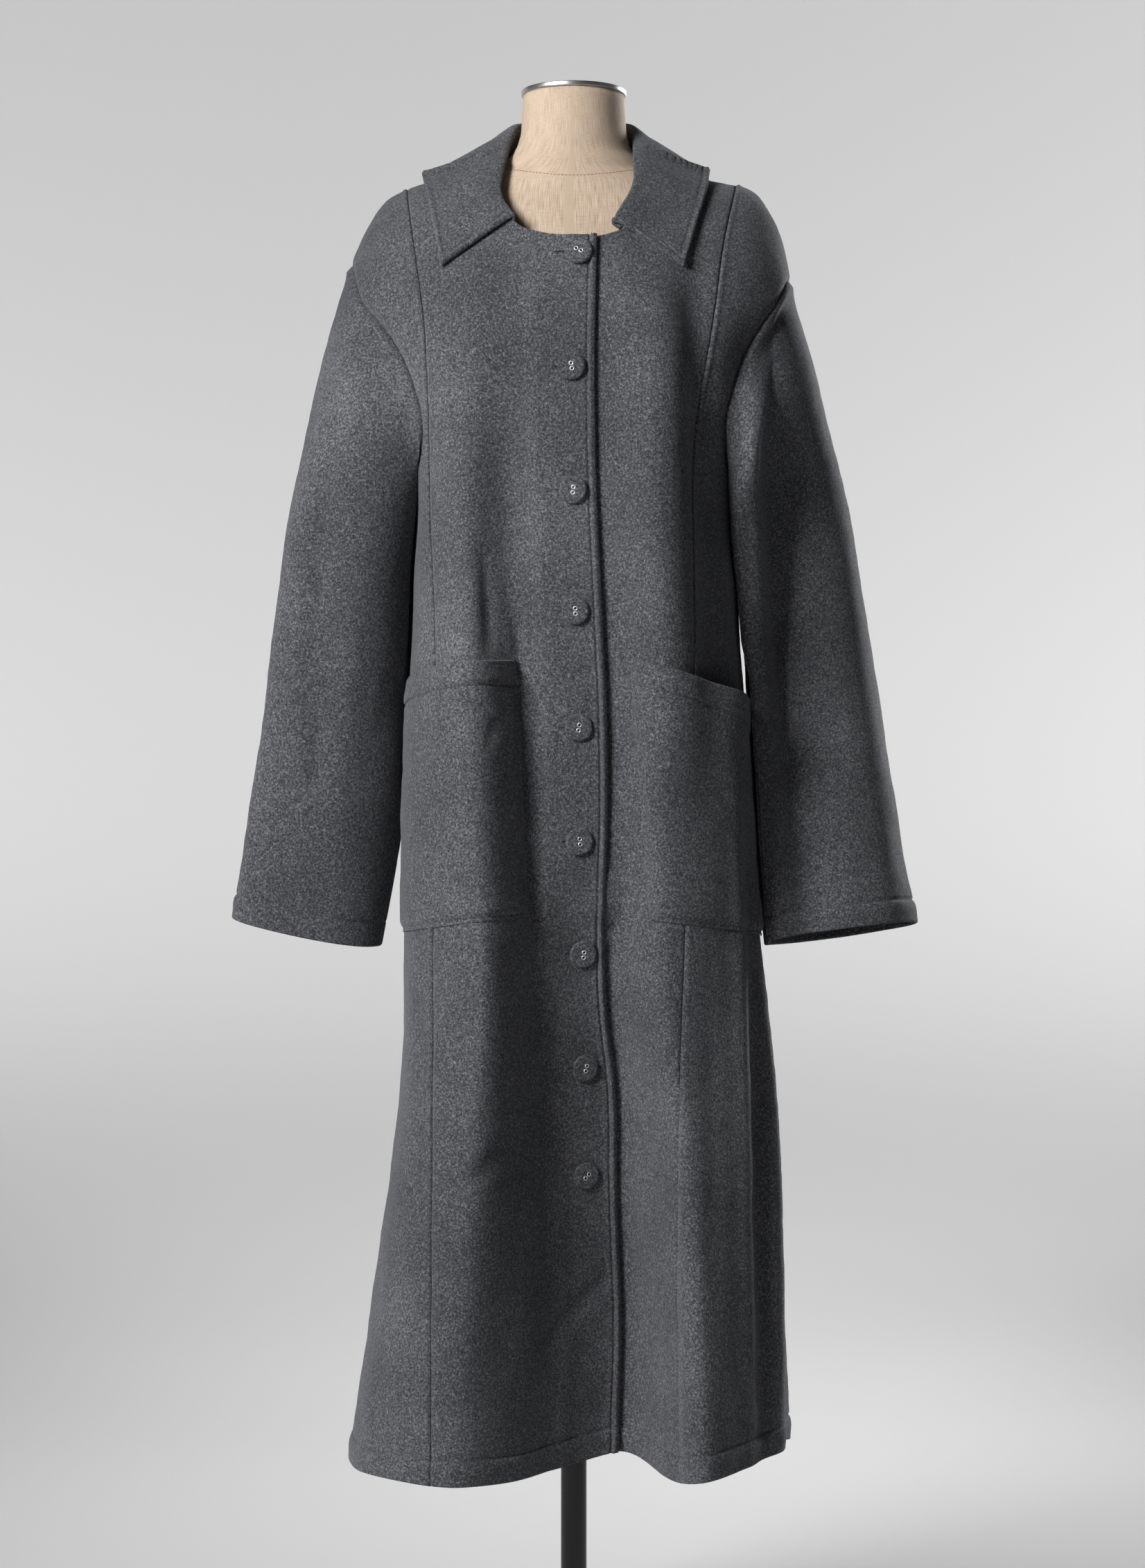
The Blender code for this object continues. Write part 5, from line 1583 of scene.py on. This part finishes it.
def eyelet_ring():
    turns = np.linspace(0, 2 * math.pi, EYELET_STEPS, endpoint=False)
    line = np.stack((np.cos(turns), np.sin(turns), 0 * turns), -1) * EYELET_RADIUS
    return tube_along(line, np.tile((0.0, 0.0, 1.0), (EYELET_STEPS, 1)), EYELET_WIRE, EYELET_SIDES)


def buttonhole(tree, place):
    """A worked buttonhole: thread wrapped round a slit, running out from under its button."""
    centre = place.across + place.hole * BUTTONHOLE_SHIFT
    turns = np.linspace(0, 2 * math.pi, BUTTONHOLE_POINTS, endpoint=False)
    x = centre + BUTTONHOLE_HALF * np.cos(turns)
    z = place.height + BUTTONHOLE_LIP * np.sign(np.sin(turns)) * np.abs(np.sin(turns)) ** BUTTONHOLE_ROUND
    line, outward = lying_on(tree, x, z, BUTTONHOLE_LIFT)
    lip = tube_along(line, outward, BUTTONHOLE_THREAD, BUTTONHOLE_SIDES)
    # The slit: a near-black tube sunk along it, painted shade in the opening
    x = np.linspace(centre - BUTTONHOLE_HALF, centre + BUTTONHOLE_HALF, SLIT_POINTS)
    line = lying_on(tree, x, np.full(SLIT_POINTS, place.height), -SLIT_SINK)[0]
    slit = tube_along(line, outward[:1].repeat(SLIT_POINTS, 0), SLIT_RADIUS, SLIT_SIDES, loop=False)
    return lip, slit


# The dress form and its stand
def add_form(linen, thread):
    """The padded torso and neck at a finer step than the solid's rings, with the neck's sewn line."""
    columns = np.array([(*ring, *hollows) for ring, hollows in form_rings()])
    places = np.arange(len(columns), dtype=float)
    at = np.linspace(0, places[-1], FORM_STEPS)
    finer_columns = (np.interp(at, places, column)[:, None] for column in columns.T)
    height, half, front, back, front_hollow, back_hollow = finer_columns
    angle = 2 * math.pi * np.arange(FORM_FINE) / FORM_FINE
    back_set = RIDGE_Y * smoothstep((height - CHEST) / (SHOULDER - CHEST))
    back_set = back_set * (1 - smoothstep((height - SHOULDER) / FORM_NECK_BLEND))
    x = half * np.sin(angle)
    y = back_set - front * np.maximum(np.cos(angle), 0) ** front_hollow
    y = y + back * np.maximum(-np.cos(angle), 0) ** back_hollow
    z = np.broadcast_to(height, x.shape)
    points = np.stack((x, y, z), -1).reshape(-1, 3)
    faces = tube_faces(FORM_STEPS, FORM_FINE)
    item = new_object("dress_form", points, faces, linen, "linen")
    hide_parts("form_torso")
    lay_weave(item.data, np.tile(angle, FORM_STEPS) * LINEN_ROUND, z.ravel())
    tree = BVHTree.FromPolygons(points.tolist(), faces)
    new_object("form_neck_seam", *stitches(*neck_line(tree), NECK_SEAM_STITCH), thread, "linen")


def lay_weave(mesh, around, up):
    """Coordinates that run round and up the form, for the threads of its linen."""
    layer = mesh.uv_layers.new(name="weave")
    corners = np.zeros(len(mesh.loops), dtype=int)
    mesh.loops.foreach_get("vertex_index", corners)
    layer.data.foreach_set("uv", np.stack((around[corners], up[corners]), -1).ravel())


def neck_line(tree):
    """The line sewn round the neck's base, and the normals along it."""
    line, outward = [], []
    for turn in NECK_SEAM_TURNS:
        start = Vector((0, 0, NECK_SEAM + NECK_SEAM_RISE * (1 - math.cos(turn))))
        way = Vector((math.sin(turn), -math.cos(turn), 0))
        hit, normal = tree.ray_cast(start, way)[:2]
        line.append(hit)
        outward.append(normal if normal.dot(way) > 0 else -normal)
    return np.array(line), np.array(outward)


def add_turned(name, stands_for, profile, steps, material, slot):
    item = new_object(name, *turned(profile, steps), material, slot)
    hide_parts(stands_for)


def add_stand(metal, black):
    """The neck cap with its dished top, the base plate with its socket, and the pole."""
    seat, socket = FORM_NECK[-1].height + SEAM_GAP, BASE_THICKNESS + SOCKET_HEIGHT
    top = seat + CAP_THICKNESS
    dish = CAP_RADIUS - CAP_LIP, top - CAP_DISH
    cap = (0, dish[1]), dish, (CAP_RADIUS - CAP_BEVEL, top), (CAP_RADIUS, top), (CAP_RADIUS, seat), (0, seat)
    base = (*disc(SOCKET_RADIUS, BASE_THICKNESS, socket)[:3], *disc(BASE_RADIUS, 0, BASE_THICKNESS)[1:])
    pole = disc(POLE_RADIUS, socket + SEAM_GAP, FORM_BODY[0].height - SEAM_GAP)
    pole = fillet(pole, POLE_FILLET, POLE_FILLET_STEPS)
    add_turned("form_cap", "neck_cap", fillet(cap, CAP_FILLET), CAP_STEPS, metal, "cap_metal")
    add_turned("stand_base", "base", fillet(base, BASE_FILLET), BASE_STEPS, black, "black_metal")
    add_turned("stand_pole", "pole", pole, POLE_STEPS, black, "black_metal")


# Studio
def add_studio():
    """A pale floor that curves up all round, the lights and a faint even glow."""
    climb = np.linspace(0, BOWL_REACH, BOWL_STEPS)
    reach, rise = BOWL_FLOOR + BOWL_SPAN * np.sin(climb), BOWL_RISE * (1 - np.cos(climb)) - FLOOR_GAP
    profile = list(zip(reach.tolist(), rise.tolist()))
    points = ring_points(profile, BOWL_STEPS) + [(0, 0, -FLOOR_GAP)]
    faces = ring_faces(BOWL_STEPS, BOWL_STEPS) + fan(len(points) - 1, 0, BOWL_STEPS)
    paper = new_material("studio_paper", Roughness=0.95, Base_Color=STUDIO_COLOUR)[0]
    plain_object("studio", points, faces, paper)
    for light in LIGHTS:
        add_light(light)
    world = bpy.data.worlds.new("studio")
    world.use_nodes = True
    set_sockets(world.node_tree.nodes["Background"], Color=WORLD_COLOUR, Strength=WORLD_STRENGTH)
    bpy.context.scene.world = world
    bpy.context.scene.view_settings.view_transform = "Standard"


def add_light(light):
    data = bpy.data.lights.new(light.name, "AREA")
    data.shape = "RECTANGLE"
    data.size, data.size_y, data.energy = light.width, light.tall, light.watts
    data.spread = math.radians(light.spread)
    item = bpy.data.objects.new(light.name, data)
    item.location = light.place
    aim = Vector(light.aim) - Vector(light.place)
    item.rotation_mode = "QUATERNION"
    item.rotation_quaternion = aim.to_track_quat("-Z", "Y")
    item.visible_camera = False
    bpy.context.scene.collection.objects.link(item)


def add_camera():
    data = bpy.data.cameras.new("camera")
    data.lens = CAMERA_LENS
    data.sensor_width = CAMERA_SENSOR
    item = bpy.data.objects.new("camera", data)
    item.location = CAMERA_PLACE
    item.rotation_euler = (math.pi / 2, 0, 0)
    bpy.context.scene.collection.objects.link(item)
    bpy.context.scene.camera = item


def main():
    add_camera()
    wool = wool_material()
    thread = thread_material("wool_thread", THREAD_COLOUR)
    # Near-black material for painted shade in the eyelets' holes and the buttonhole slits, not a sewing
    # thread
    dark = thread_material("painted_shade_dark", PAINTED_SHADE_COLOUR)
    cap_metal = metal_material("satin_metal", METAL_STOPS, roughness=0.30, scale=60.0)
    eyelet_metal = metal_material("eyelet_metal", EYELET_STOPS, roughness=0.42, scale=300.0)
    add_buttons(add_coat(wool, thread), wool, eyelet_metal, dark)
    add_form(linen_material(), thread_material("seam_thread", SEAM_THREAD_COLOUR))
    add_stand(cap_metal, black_material())
    add_studio()


main()
